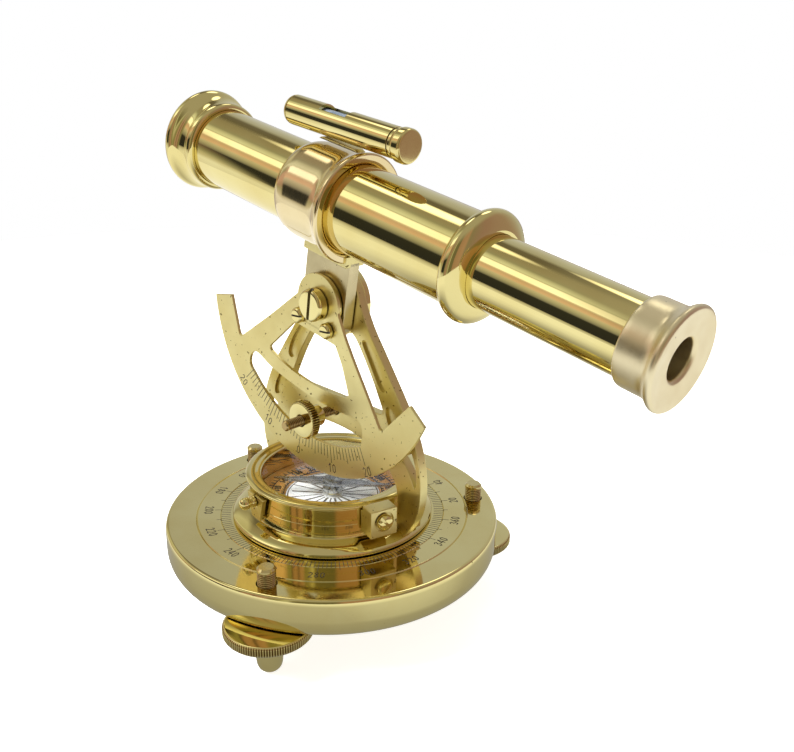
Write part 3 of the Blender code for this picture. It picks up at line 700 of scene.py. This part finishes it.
# And for the rest of the room, by azimuth from the front: 90 is along the telescope.
BESIDE = [
    (-180, (0.5, 0.5, 0.5)), (-40, (0.50, 0.42, 0.34)), (-29, (0.36, 0.24, 0.20)), (-17, (0.28, 0.27, 0.15)),
    (-13, (0.34, 0.32, 0.18)), (-11, (0.08, 0.07, 0.04)), (-9, (0.44, 0.28, 0.23)), (-3, (0.46, 0.29, 0.24)),
    (-1, (0.10, 0.08, 0.05)), (1, (0.44, 0.28, 0.24)), (6, (0.50, 0.33, 0.28)), (9, (0.26, 0.25, 0.13)),
    (14, (0.32, 0.30, 0.18)), (20, (0.62, 0.60, 0.46)), (24, (0.20, 0.18, 0.10)), (50, (0.17, 0.16, 0.10)),
    (55, (0.40, 0.25, 0.18)), (84, (0.46, 0.29, 0.22)), (92, (0.28, 0.24, 0.18)), (120, (0.34, 0.22, 0.21)),
    (150, (0.38, 0.28, 0.26)), (180, (0.5, 0.5, 0.5)),
]

CEILING = (0.42, 0.39, 0.33)
SPOTS = ((-0.51, 0.13, 0.85), (-0.2, 0.54, 0.82))  # directions of two small bright patches overhead
SPOT_COLOUR = (2.4, 2.3, 2.0)
# Where one set of bands gives way to the next, by the x, height or closeness to a spot of the direction looked in
WINDOW_EDGE = (-0.715, -0.735)
BEYOND_EDGE = (-0.765, -0.815)
BESIDE_EDGE = (-0.38, -0.24)
CEILING_EDGE = (0.55, 0.85)
SPOT_EDGE = (0.986, 0.996)


def world():
    """A soft studio as bands of light and dark round the object; the camera itself sees plain white."""
    made = bpy.data.worlds.new("studio")
    bpy.context.scene.world = made
    made.use_nodes = True
    tree = made.node_tree
    tree.nodes.clear()

    def add(kind, *inputs, **settings):
        node = tree.nodes.new(kind)
        for key, value in settings.items():
            setattr(node, key, value)
        for socket, source in zip(node.inputs, inputs):
            if isinstance(source, (int, float)):
                socket.default_value = source
            else:
                tree.links.new(source, socket)
        return node

    def fraction(value, low, high):
        return add("ShaderNodeMapRange", value, low, high, 0.0, 1.0).outputs[0]

    def bands(angle, stops):
        ramp = add("ShaderNodeValToRGB", fraction(angle, -math.pi, math.pi))
        fill_ramp(ramp, [((degrees + 180) / 360, colour) for degrees, colour in stops])
        return ramp.outputs["Color"]

    def blend(factor, first, second):
        node = add("ShaderNodeMix", data_type="RGBA")
        tree.links.new(factor, node.inputs["Factor"])
        tree.links.new(first, node.inputs["A"])
        tree.links.new(second, node.inputs["B"])
        return node.outputs["Result"]

    where = add("ShaderNodeTexCoord")
    split = add("ShaderNodeSeparateXYZ", where.outputs["Generated"])
    x, y, z = split.outputs
    front = add("ShaderNodeMath", y, -1.0, operation="MULTIPLY").outputs[0]
    rise = add("ShaderNodeMath", z, front, operation="ARCTAN2").outputs[0]
    azimuth = add("ShaderNodeMath", x, front, operation="ARCTAN2").outputs[0]
    with_window = bands(rise, LOW_IN_FRONT + WINDOW + OVERHEAD)
    without = bands(rise, LOW_IN_FRONT + NO_WINDOW + OVERHEAD)
    near = blend(fraction(x, *WINDOW_EDGE), with_window, without)
    tubeward = blend(fraction(x, *BEYOND_EDGE), near, bands(rise, BEYOND))
    overhead = add("ShaderNodeRGB")
    overhead.outputs[0].default_value = (*CEILING, 1.0)
    sideways = blend(fraction(z, *CEILING_EDGE), bands(azimuth, BESIDE), overhead.outputs[0])
    mixed = blend(fraction(x, *BESIDE_EDGE), tubeward, sideways)
    bright = add("ShaderNodeRGB")
    bright.outputs[0].default_value = (*SPOT_COLOUR, 1.0)
    for direction in SPOTS:
        aim = add("ShaderNodeVectorMath", where.outputs["Generated"], operation="DOT_PRODUCT")
        aim.inputs[1].default_value = direction
        mixed = blend(fraction(aim.outputs["Value"], *SPOT_EDGE), mixed, bright.outputs[0])
    room = add("ShaderNodeBackground", mixed)
    white = add("ShaderNodeBackground")
    white.inputs["Color"].default_value = (1.0, 1.0, 1.0, 1.0)
    path = add("ShaderNodeLightPath")
    shade = add("ShaderNodeMixShader", path.outputs["Is Camera Ray"], room.outputs[0], white.outputs[0])
    add("ShaderNodeOutputWorld", shade.outputs[0])


LAMP_PLACE = (-330, -420, 720)
LAMP_SIZE = 800
LAMP_POWER = 16.0


def lamp():
    """A soft round light aimed at the origin, which the brass doesn't mirror."""
    data = bpy.data.lights.new("overhead", "AREA")
    data.shape = "DISK"
    data.size = LAMP_SIZE * MM
    data.energy = LAMP_POWER
    obj = bpy.data.objects.new("overhead", data)
    bpy.context.scene.collection.objects.link(obj)
    place = Vector(mm(*LAMP_PLACE))
    obj.matrix_world = Matrix.Translation(place) @ (-place).to_track_quat("-Z", "Y").to_matrix().to_4x4()
    obj.visible_glossy = False


# ---------------------------------------------------------------- base and levelling screws

def base_plate():
    profile = [
        (0, 0), (29.8, 0, 0.6), (30.0, 1.1, 0.1), (50.2, 1.1), (51.4, 2.2, 1.0), (BASE_R, 4.6, 2.0),
        (BASE_R, 12.1, 0.7), (BASE_R - 0.3, BASE_T - 0.3, 0.3), (BASE_R - 0.9, BASE_T, 0.3),
        (GROOVE_R + 0.3, BASE_T, 0.06), (GROOVE_R, BASE_T - 0.4, 0.1), (GROOVE_R - 0.3, BASE_T, 0.06),
        (SCALE_R + 0.18, BASE_T, 0.05), (SCALE_R, BASE_T - 0.25, 0.06), (SCALE_R - 0.18, BASE_T, 0.05),
        (6.3, BASE_T), (6.3, 4.0), (0, 4.0),
    ]
    obj = lathe("fine_base_plate", profile)
    for angle in SCREW_ANGLES.values():
        cut(obj, cylinder(STUD_R + 0.3, -1, BASE_T + 1, turned_by(angle, "Z") @ moved(SCREW_CIRCLE_R)))
    ease_edges(obj, 0.18)
    settle(obj, FACED, "base", "base_plate")

    lines = []
    for degree in range(0, 360, 2):
        lines.append(ray(degree, 32.4, 35.2, 1.2))
    for degree in range(0, 360, 20):
        angle = degree + SCALE_SHIFT + UNEVEN * math.cos(math.radians(degree))
        lines.append(ray(angle, SCALE_R, 37.4))
        lines.append(ray(angle + 10, SCALE_R, 36.7))
        lines += number(str(degree or 360), around(angle, 39.3), angle + 180, 2.5, 1.7, 1.7)
    marks = strokes("base_scale", lines, 0.17, moved(0, 0, BASE_T))
    settle(marks, WAX_AND_SLOT_SHADE, "base")


def levelling_screws():
    for key, angle in SCREW_ANGLES.items():
        axis = moved(*around(angle, SCREW_CIRCLE_R))
        stud = thread("fine_levelling_stud_" + key, STUD_R, WHEEL_TOP - 1.3, STUD_TOP, THREAD_PITCH, axis)
        settle(stud, THREADED, "screw_" + key, "levelling_stud_" + key)
        wheel = [
            (0, WHEEL_BOTTOM), (WHEEL_R - 0.7, WHEEL_BOTTOM), (WHEEL_R, WHEEL_BOTTOM + 0.6),
            (WHEEL_R, WHEEL_TOP - 0.6), (WHEEL_R - 0.7, WHEEL_TOP), (3.0, WHEEL_TOP), (3.0, WHEEL_TOP - 1.6),
            (0, WHEEL_TOP - 1.6),
        ]
        grooves = knurl(WHEEL_TEETH, 0.32, WHEEL_R - 0.3)
        rim = lathe("fine_levelling_wheel_" + key, wheel, axis, WHEEL_TEETH * TOOTH_FACETS, 0.2, grooves)
        settle(rim, TURNED, "screw_" + key, "levelling_wheel_" + key)
        top = WHEEL_BOTTOM - 0.3
        foot = [
            (0, top), (5.8, top), (5.0, top - 1.2, 1.5), (4.3, top - 3.2, 3), (3.9, top - 6.0, 3),
            (3.9, FOOT_TIP + 3.6, 2), (3.4, FOOT_TIP + 1.6, 2), (1.9, FOOT_TIP + 0.3, 2), (0.8, FOOT_TIP, 1),
            (0, FOOT_TIP),
        ]
        turned("levelling_foot_" + key, foot, "foot_" + key, axis)


# ---------------------------------------------------------------- compass

def compass():
    spindle = [(0, 4.3), (6.0, 4.3), (6.0, 13.0), (3.0, 13.0), (3.0, 15.6), (0, 15.6)]
    turned("azimuth_spindle", spindle, "alidade")
    housing = [
        (3.3, FLANGE_LOW), (FLANGE_R - 0.3, FLANGE_LOW), (FLANGE_R, FLANGE_LOW + 0.3),
        (FLANGE_R, FLANGE_TOP - 1.5, 0.3),
        (FLANGE_R - 0.5, FLANGE_TOP - 1.0, 0.4), (29.6, FLANGE_TOP - 0.1, 1.5), (27.4, FLANGE_TOP + 0.6, 1.0),
        (26.4, FLANGE_TOP + 0.8, 0.5), (WALL_R, FLANGE_TOP + 1.1, 0.3),
        (WALL_R, 21.3, 0.03), (WALL_R - 0.12, 21.4, 0.03), (WALL_R, 21.5, 0.03), (WALL_R, WALL_TOP),
        (WALL_INNER_R, WALL_TOP), (WALL_INNER_R, BOX_FLOOR), (0, BOX_FLOOR), (0, 15.9), (3.3, 15.9),
    ]
    turned("compass_housing", housing, "alidade", segments=FINE)
    bezel = [
        (BEZEL_INNER_R, BEZEL_LOW), (BEZEL_R - 0.2, BEZEL_LOW), (BEZEL_R, BEZEL_LOW + 0.3),
        (BEZEL_R, BEZEL_TOP - 0.5, 0.4),
        (BEZEL_R - 0.9, BEZEL_TOP, 0.7), (BEZEL_R - 2.2, BEZEL_TOP, 0.5), (BEZEL_R - 2.7, BEZEL_TOP - 0.45, 0.3),
        (BEZEL_INNER_R + 0.7, BEZEL_TOP - 0.4, 0.4), (BEZEL_INNER_R, BEZEL_TOP - 0.9, 0.4),
    ]
    turned("compass_bezel", bezel, "alidade", segments=FINE)
    glass = [(0, WALL_TOP - 0.3), (23.9, WALL_TOP - 0.3), (23.9, WALL_TOP), (0, WALL_TOP)]
    turned("compass_glass", glass, "alidade", edge=0.05, material=PANE, slot="clear_glass")

    ring = [
        (CARD_R + 0.3, DIAL_LOW), (23.9, DIAL_LOW), (23.9, DIAL_LOW + 1.3), (23.4, DIAL_LOW + 1.45),
        (CARD_R + 0.3, DIAL_LOW + 1.0),
    ]
    turned("dial_ring", ring, "alidade", None, FINE, 0.05, COPPER, "copper_dial")
    lines = ring_lines(15.6) + ring_lines(19.6)
    for degree in range(0, 360, 5):
        lines.append(ray(degree, 19.6, 21.4 if degree % 10 else 22.2, 1.5))
        lines.append(ray(degree, 15.6, 16.3, 0.8))
    for degree in range(0, 360, 20):
        lines += number(str(360 - degree if degree else 0), around(degree, 18.0), degree, 1.9, 1.3, 1.3)
    print_on_ring = strokes("dial_scale", lines, 0.32, moved(0, 0, DIAL_LOW + 1.2), 0.12)
    settle(print_on_ring, INK, "alidade", slot="copper_dial")

    card = [(0, DIAL_LOW), (CARD_R, DIAL_LOW), (CARD_R, DIAL_LOW + 0.7), (0, DIAL_LOW + 0.7)]
    turned("dial_card", card, "alidade", edge=0.08, material=CARD, slot="white_card")
    lines = ring_lines(14.3, 1.2)
    for index in range(20):
        lines.append(ray(index * 18 + 4, 3.6, 14.3 if index % 2 else 12.8, 1.5 if index % 2 else 2.4))
    settle(strokes("dial_rays", lines, 0.3, moved(0, 0, DIAL_LOW + 0.7)), INK, "alidade", slot="white_card")

    pin = [(0, 18.9), (1.8, 18.9), (1.8, 19.4), (0.8, 19.8), (0.6, NEEDLE_Z - 0.1), (0, NEEDLE_Z + 0.6)]
    turned("needle_pin", pin, "alidade", None, SMALL, 0.1)
    tips = [(-19, 0, 0), (-3.0, -2.7, 1.2), (3.0, -2.7, 1.2), (19, 0, 0), (3.0, 2.7, 1.2), (-3.0, 2.7, 1.2)]
    swing = turned_by(NEEDLE_ANGLE, "Z")
    needle = plate("fine_compass_needle", tips, [circle((0, 0), 2.3)], NEEDLE_Z, NEEDLE_Z + 0.7, swing, 0.1)
    settle(needle, STEEL, "needle", "compass_needle", slot="needle_steel")
    cap = [
        (1.2, NEEDLE_Z - 2.4), (3.2, NEEDLE_Z - 2.4), (3.2, NEEDLE_Z - 1.2), (2.0, NEEDLE_Z - 0.8),
        (2.0, NEEDLE_Z + 0.9), (3.1, NEEDLE_Z + 1.0),
        (3.1, NEEDLE_Z + 1.5, 0.4), (2.0, NEEDLE_Z + 2.1, 0.8), (0, NEEDLE_Z + 2.3), (0, NEEDLE_Z + 1.2),
        (1.2, NEEDLE_Z + 0.3),
    ]
    turned("needle_cap", cap, "needle", edge=0.12, material=STEEL, slot="needle_steel")


def lugs():
    spot = turned_by(LUG_RIGHT_ANGLE, "Z")
    outline = [
        (26.4, 19.4, 0.2), (32.6, 19.4, 0.3), (32.6, 28.0, 0.3), (27.4, 28.0, 0.2), (27.4, 26.4, 0.1),
        (26.4, 26.4, 0.1),
    ]
    block = plate("fine_lug_right", outline, [], -4.3, 4.3, spot @ UPRIGHT, 0.2)
    axis = spot @ along((1, 0, 0), (28.0, 0, 24.2))
    cut(block, cylinder(1.7, -0.4, 5, axis))
    cut(block, cylinder(3.2, 3.8, 6, axis))
    ease_edges(block, 0.12)
    settle(block, FLAT, "alidade", "lug_right")
    head = [(0, 0), (1.4, 0), (1.4, 4.2), (2.4, 4.2), (2.5, 5.4, 0.5), (2.0, 6.3, 0.6), (0, 6.6)]
    screw = lathe("fine_lug_screw", head, axis, MIDDLE)
    cut(screw, box_tool(4, 0.4, 5.6, 8, axis @ turned_by(40, "Z")))
    ease_edges(screw, 0.07)
    settle(screw, TURNED, "alidade", "lug_screw")

    spot = turned_by(LUG_LEFT_ANGLE, "Z")
    face = spot @ moved(27.8) @ turned_by(90, "Z") @ UPRIGHT
    outline = [(-4.6, 26.3, 0.3), (4.6, 26.3, 0.3), (2.4, 18.6, 0.4), (-2.4, 18.6, 0.4)]
    pad = plate("fine_lug_left", outline, [circle((0, 24.6), 1.7)], -1.4, 0, face, 0.15)
    settle(pad, FLAT, "alidade", "lug_left")
    ball = [
        (0, 0), (1.3, 0), (1.3, 1.5), (1.8, 1.5), (1.8, 2.6), (1.3, 2.9), (1.8, 3.5, 0.5), (2.0, 4.4, 1),
        (1.8, 5.3, 1), (1.1, 6.1, 1), (0, 6.3),
    ]
    turned("lug_pin", ball, "alidade", spot @ along((1, 0, 0), (26.7, 0, 24.6)), SMALL, 0.15)


# ---------------------------------------------------------------- frame, clamp and pivot

def frame_casting():
    foot = FLANGE_TOP - 0.7
    head = [(0, PIVOT_Z + 11.0)] + arc((0, PIVOT_Z), 11.0, 85, 18, 14)
    outer = [
        (11.9, 81.6), (14.8, 76.1), (19.3, 70.0), (24.2, 63.2), (28.6, 57.0), (32.0, 51.4), (34.6, 46.0),
        (36.4, 40.2), (37.2, 34.2), (37.0, 28.2), (35.6, 22.8), (33.2, 18.8), (31.0, foot, 0.3),
    ]
    inner = [(27.6, foot, 0.3), (27.6, 28.8), (26.4, 32.0), (22.4, 36.6), (15.6, 40.2), (8.0, 42.0), (0, 42.4)]
    gap = [
        (0, 75.4), (4.6, 75.0), (8.2, 73.6), (10.2, 71.6), (13.2, 67.2), (16.8, 61.4), (20.8, 53.6, 0.6),
        (21.0, 52.4, 0.6), (20.2, 51.6, 0.6), (0, 51.6),
    ]
    crescent = [
        (28.8, 40.6, 0.4), (31.2, 38.2), (33.2, 35.2), (34.5, 32.4, 0.4), (35.1, 33.2), (35.0, 37.0), (34.2, 41.0),
        (33.0, 43.2, 0.4),
    ]
    holes = [mirrored(gap), circle((0, PIVOT_Z), PIVOT_R + 0.3), circle((0, STUD_Z), 1.9)]
    for side in (-1, 1):
        holes.append([(side * point[0], *point[1:]) for point in crescent])
    rim = mirrored(head + outer + inner)
    casting = plate("fine_frame", rim, holes, -FRAME_BACK, -FRAME_FRONT, UPRIGHT, 0.25, 3.0)
    scallop = [
        (12.0, 72.6), (14.2, 73.0), (17.4, 69.8), (20.6, 65.0), (22.5, 60.8), (22.1, 59.0), (20.3, 58.6),
        (18.4, 61.4), (14.8, 67.4), (12.6, 70.8),
    ]
    hollow = [
        (22.2, 54.4), (24.0, 55.2), (26.2, 53.4), (28.8, 49.6), (30.4, 45.4), (29.8, 43.6), (27.4, 44.8),
        (24.4, 47.8), (22.4, 51.4),
    ]
    for side in (-1, 1):
        for outline in (scallop, hollow):
            shape = [(side * x, z) for x, z in outline]
            cut(casting, plate("tool", shape, [], -FRAME_FRONT - 0.8, 0, UPRIGHT, 0, 2.0))
        screw = [(0, 16.6), (0.9, 16.6), (0.9, 18.9), (1.5, 18.9), (1.5, 19.6, 0.2), (1.0, 20.0), (0, 20.0)]
        tag = "right" if side > 0 else "left"
        spot = (side * FOOT_SCREW_X, FOOT_SCREW_Y)
        around_screw = ((-1.6, -2.2), (-1.6, 2.2), (1.6, 2.2), (1.6, -2.2))
        corners = [(spot[0] + side * dx, FOOT_SCREW_Y + dy, 0.6) for dx, dy in around_screw]
        tab = plate("fine_foot_tab_" + tag, corners, [circle(spot, 1.2)], FLANGE_TOP + 0.05, 18.6, None, 0.2)
        settle(tab, FLAT, "alidade")
        turned("foot_screw_" + tag, screw, "alidade", moved(*spot), SMALL, 0.1)
    boss = [(PIVOT_R + 0.3, 4.2), (10.9, 4.2), (10.9, 6.3, 0.5), (PIVOT_R + 0.3, 6.3, 0.2)]
    head = lathe("fine_frame_head", boss, along((0, 1, 0), (0, 0, PIVOT_Z)))
    settle(head, TURNED, "alidade")
    ease_edges(casting, 0.1)
    settle(casting, FLAT, "alidade", "frame")


def clamp():
    axis = along((0, 1, 0), (0, 0, STUD_Z))
    stud = thread("fine_clamp_stud", 1.6, -FRAME_FRONT - 6, 18.6, THREAD_PITCH, axis @ turned_by(180, "X"), tip=0.4)
    settle(stud, DARK, "alidade", "clamp_stud")
    washer = [(1.0, 1.3), (1.5, 1.3), (1.5, 4.6), (3.2, 4.6), (3.2, 6.2, 0.4), (2.6, 6.8), (1.0, 6.8)]
    settle(lathe("fine_clamp_washer", washer, axis, MIDDLE, 0.1), TURNED, "alidade")
    nut = [
        (1.9, -12.4), (5.3, -12.4), (6.0, -11.8), (6.0, -9.8), (5.3, -9.2), (3.3, -9.0), (3.3, SECTOR_FRONT - 0.3),
        (1.9, SECTOR_FRONT - 0.3),
    ]
    obj = lathe("fine_clamp_nut", nut, axis, NUT_TEETH * TOOTH_FACETS, 0.2, knurl(NUT_TEETH, 0.45, 5.6))
    settle(obj, TURNED, "clamp", "clamp_nut")


def pivot():
    axis = along((0, 1, 0), (0, 0, PIVOT_Z))
    face = SECTOR_FRONT - 0.3
    screw = [
        (0, -8.5), (4.3, -8.5, 0.4), (4.9, -7.9, 0.5), (4.9, face), (PIVOT_R, face), (PIVOT_R, 9.0), (1.8, 9.5),
        (0, 9.5),
    ]
    bolt = lathe("fine_pivot_screw", screw, axis, MIDDLE)
    slot = moved(0, 0, PIVOT_Z) @ turned_by(8, "Y") @ UPRIGHT
    cut(bolt, box_tool(0.6, 6, 7.3, 9.5, slot))
    ease_edges(bolt, 0.1)
    settle(bolt, TURNED, "alidade", "pivot_screw")
    # A dark strip on the slot's floor: painted shade for the deep slot.
    slot_shade = strokes("pivot_slot", [((0, -4.6), (0, 4.6), 1.0)], 1.15, slot @ moved(0, 0, 7.32))
    settle(slot_shade, WAX_AND_SLOT_SHADE, "alidade")
    nut = [(PIVOT_R + 0.3, 6.6), (4.6, 6.6), (4.6, 8.2, 0.5), (4.0, 8.8), (PIVOT_R + 0.3, 8.8)]
    turned("pivot_nut", nut, "alidade", axis)


# ---------------------------------------------------------------- telescope

def tube(name, outer, inner, material, body, *nodes):
    """A turned piece on the telescope's axis, from (station, radius[, reach]) lists outside and inside."""
    profile = [(point[1], point[0], *point[2:]) for point in outer]
    profile += [(point[1], point[0], *point[2:]) for point in reversed(inner)]
    return settle(lathe(name, profile, TUBE, FINE, 0.15), material, body, *nodes)


def plain_tube(node, body, start, stop, outer, inner):
    tube("fine_" + node, [(start, outer), (stop, outer)], [(start, inner), (stop, inner)], DRAWN, body, node)


def collar():
    barrel = [
        (-7.5, 13.0, 0.3), (-5.8, 13.8, 1.2), (-3.6, 14.15, 1.2), (9.0, 14.2, 2.0), (11.0, 14.8, 1.2),
        (12.6, 15.7, 0.8), (13.6, 15.8, 0.5), (14.0, 15.4, 0.2), (14.0, 13.9),
    ]
    bore = [(-7.5, 11.85), (-0.2, 11.85), (-0.2, 12.55), (12.9, 12.55), (13.6, 13.2, 0.3), (14.0, 13.9, 0.2)]
    tube("fine_collar", barrel, bore, BUFFED, "telescope", "collar")
    flat = TILT @ UPRIGHT
    corners = [(-9.3, 14.2, 0.3), (9.3, 14.2, 0.3), (9.3, 17.6, 0.2), (-9.3, 17.6, 0.2)]
    pad = plate("fine_tongue_pad", corners, [], -AXIS_Y - 3.5, -AXIS_Y + 3.5, flat, 0.3)
    settle(pad, FLAT, "telescope")
    blade = [(*point, 0) for point in arc((-3.3, -4.0), 6, 180, 270, 16) + arc((3.3, -4.0), 6, 270, 360, 16)]
    blade += [(9.3, 15.4, 0.2), (-9.3, 15.4, 0.2)]
    holes = [circle((0, 0), PIVOT_R + 0.3)] + [circle(spot, 1.5, 32) for spot in SECTOR_SCREWS.values()]
    tongue = plate("fine_tongue", blade, holes, -1.0, 2.8, flat, 0.25)
    settle(tongue, CAST_AND_SHADED, "telescope")


def telescope():
    plain_tube("front_tube", "telescope", -55.0, -0.3, 11.8, 10.4)
    plain_tube("main_tube", "telescope", 0.3, 59.7, 12.5, 11.2)
    tube(
        "fine_objective_ring",
        [
            (-60.4, 13.6), (-60.1, 14.6, 0.6), (-59.2, 15.4, 0.8), (-58.0, 15.6, 0.8), (-56.9, 15.2, 0.8),
            (-55.6, 14.2, 1), (-54.0, 13.5, 1), (-52.4, 13.2, 0.4), (-51.6, 13.2, 0.2), (-51.2, 13.5, 0.3),
            (-50.2, 13.6, 0.5), (-49.2, 13.4, 0.4), (-48.6, 12.7, 0.3),
        ],
        [
            (-60.4, 12.4), (-59.0, 11.9, 0.6), (-56.4, 11.9), (-56.4, 10.4), (-55.3, 10.4), (-55.3, 11.85),
            (-48.6, 11.85),
        ],
        TURNED, "telescope", "objective_ring",
    )
    lens = [(0, -59.8), (4.0, -59.75, 3), (8.0, -59.3, 3), (11.6, -58.2, 0.1), (11.6, -56.7, 0.1), (0, -56.7)]
    turned("objective_lens", lens, "telescope", TUBE, edge=0.1, material=LENS, slot="clear_glass")
    tube(
        "fine_tube_end_ring",
        [
            (56.0, 13.0, 0.2), (56.5, 13.8, 0.6), (57.6, 14.7, 1), (59.0, 15.0, 1), (60.4, 14.5, 1),
            (61.4, 13.2, 1), (62.0, 11.7, 0.6), (62.2, 10.5, 0.2),
        ],
        [(56.0, 12.55), (60.0, 12.55), (60.0, 9.62), (62.2, 9.62)],
        TURNED, "telescope", "tube_end_ring",
    )
    plain_tube("draw_tube", "draw", 40.0, 109.7, 9.57, 8.3)
    tube(
        "fine_eyepiece_cap",
        [
            (104.7, 10.3), (105.1, 10.8, 0.3), (106.0, 10.9, 0.8), (111.6, 10.9, 1), (112.8, 11.3, 1),
            (113.6, 12.0, 0.8), (114.4, 12.6, 0.6), (115.3, 12.6, 0.5), (115.75, 12.1, 0.3),
        ],
        [
            (104.7, 9.62), (110.0, 9.62), (110.0, 5.0), (114.6, 5.0, 0.4), (115.3, 5.6, 0.6), (115.45, 9.0, 2),
            (115.75, 11.4, 0.5),
        ],
        SATIN, "draw", "eyepiece_cap",
    )
    lens = [(0, 104.0), (8.0, 104.0, 0.1), (8.0, 106.2, 0.1), (5.0, 107.2, 2), (2.5, 107.6, 2), (0, 107.6)]
    turned("eyepiece_lens", lens, "draw", TUBE, edge=0.1, material=LENS, slot="clear_glass")


def level():
    lay = LEVEL @ along((1, 0, 0))
    shell = [(3.3, -22.0), (LEVEL_R, -22.0), (LEVEL_R, 18.6), (3.3, 18.6)]
    casing = lathe("fine_level_tube", shell, lay, FINE, 0.08)
    sight = [(-9.4, 2.2, 0), (-8.4, 0.6, 0), (0.2, 0.6, 0), (1.2, 2.2, 0), (1.2, 6.0, 0), (-9.4, 6.0, 0)]
    cut(casing, plate("tool", sight, [], -2.9, 2.9, LEVEL @ UPRIGHT, 0, 0))
    ease_edges(casing, 0.12)
    settle(casing, DRAWN, "telescope", "level_tube")
    plug = [(0, -22.3), (LEVEL_R, -22.3), (LEVEL_R - 0.2, -23.1, 0.6), (LEVEL_R - 1.2, -23.8, 1), (0, -23.9)]
    turned("level_plug", plug, "telescope", lay)
    cap = [
        (0, 18.9), (LEVEL_R, 18.9), (LEVEL_R, 19.8, 0.1), (LEVEL_R - 0.35, 20.1, 0.1), (LEVEL_R + 0.3, 20.5, 0.1),
        (LEVEL_R + 0.45, 20.9, 0.3), (LEVEL_R + 0.45, 23.0, 0.5), (LEVEL_R + 0.05, 23.6, 0.4), (0, 23.6),
    ]
    turned("level_cap", cap, "telescope", lay, material=FACED)
    vial = [(0, -20.0), (2.2, -20.0, 0.6), (2.9, -19.0, 0.6), (2.9, 16.6, 0.6), (2.2, 17.6, 0.6), (0, 17.6)]
    turned("level_vial", vial, "telescope", lay, material=VIAL, slot="level_vial")
    low = AXIS_RISE + 15.3
    top = AXIS_RISE + LEVEL_RISE - LEVEL_R - 0.5
    block = [(-8.0, low, 0.4), (8.0, low, 0.4), (7.0, top, 0.8), (-7.0, top, 0.8)]
    place = TILT @ moved(4.0 - PIVOT_S, AXIS_Y) @ UPRIGHT
    saddle = plate("fine_level_saddle", block, [], -1.6, 1.6, place, 0.25)
    settle(saddle, FLAT, "telescope", "level_saddle")


# ---------------------------------------------------------------- vertical arc

def sector():
    flat = TILT @ UPRIGHT
    outline = [(*point, 0) for point in arc((0, 0), 9.1, 0, 180, 32)]
    outline += [
        (-21.1, -12.3, 1), (-34.6, -25.3, 0.8), (-35.6, -25.5, 0.5), (-36.3, -24.6, 0.5), (-41.3, -13.4, 0.2),
    ]
    outline += [(*point, 0) for point in arc((-1.0, -4.0), 50.4, 194.5, 344.5, 72)]
    outline += [
        (41.2, -13.8, 0.3), (32.6, -26.4, 0.6), (31.4, -26.6, 0.5), (25.2, -19.4), (18.4, -11.9), (13.4, -6.1),
    ]
    window = [
        (-9.2, -9.6, 0.5), (9.4, -9.4, 0.5), (13.2, -14.2), (17.5, -22.3, 0.6), (16.6, -23.5, 0.6), (9.6, -25.2, 3),
        (0, -26.0, 3), (-8.0, -25.9, 3), (-15.0, -24.9, 3), (-19.4, -23.7, 0.6), (-19.9, -22.5, 0.6),
    ]
    slot = [
        (-25.0, -27.4, 5), (-19.0, -29.3, 3), (-10.0, -30.1, 3), (0, -30.5, 3), (10.0, -29.9, 3), (17.4, -28.8, 3),
        (21.6, -27.7, 2), (24.2, -28.8, 2), (25.2, -31.6, 3),
    ]
    slot += [(*point, 0) for point in arc((-0.6, -0.8), 43.2, -53.5, -126.5, 40)]
    slot += [(-29.6, -33.4, 5), (-29.2, -29.4, 5), (-27.2, -27.6, 5)]
    holes = [window, slot, circle((0, 0), PIVOT_R + 0.3)]
    holes += [circle(spot, 1.5, 32) for spot in SECTOR_SCREWS.values()]
    blade = plate("fine_sector_arc", outline, holes, -SECTOR_BACK, -SECTOR_FRONT, flat, 0.1, 2.0)
    settle(blade, FLAT, "telescope", "sector_arc")
    hub = [(*point, 0) for point in circle((0, 0), 8.6, 96)]
    boss = plate("fine_sector_boss", hub, holes[2:], 3.1, -SECTOR_BACK + 0.02, flat, 0.1)
    settle(boss, TURNED, "telescope")

    face = flat @ moved(0, 0, -SECTOR_FRONT)
    lines = []
    for tick in range(-20, 21):
        angle = -90 + TICK_SHIFT + tick * TICK_STEP
        length = 5.4 if tick % 10 == 0 else 4.6 if tick % 5 == 0 else 3.7
        inner = TICK_R - 0.02 * abs(tick)
        lines.append(ray(angle, inner, inner + length, 1.3))
        if tick % 10 == 0:
            lines += number(str(abs(tick)), around(angle, 51.3), angle + 180, 2.7, 1.9, 1.6)
    settle(strokes("sector_scale", lines, 0.17, face), WAX_AND_SLOT_SHADE, "telescope")

    for tag, spot in SECTOR_SCREWS.items():
        head = [
            (0, 0.3), (1.2, 0.3), (1.2, -SECTOR_FRONT + 0.3), (2.4, -SECTOR_FRONT + 0.3), (2.4, 6.5, 0.3),
            (1.8, 7.0, 0.3), (0, 7.0),
        ]
        place = flat @ moved(*spot)
        screw = lathe("fine_sector_screw_" + tag, head, place, MIDDLE, 0.1)
        slot = place @ turned_by(15, "Z")
        cut(screw, box_tool(3, 0.3, 6.4, 8, slot))
        # Dark strips on the slot floors: painted shade for the deep slots.
        slot_shade = strokes("sector_slot_shade_" + tag, [((-2.1, 0), (2.1, 0), 1.0)], 0.56, slot @ moved(0, 0, 6.42))
        settle(slot_shade, WAX_AND_SLOT_SHADE, "telescope")
        settle(screw, TURNED, "telescope", "sector_screw_" + tag)


camera()
stage()
world()
lamp()
base_plate()
levelling_screws()
compass()
lugs()
frame_casting()
clamp()
pivot()
collar()
telescope()
level()
sector()
bpy.context.scene.view_settings.view_transform = "Standard"
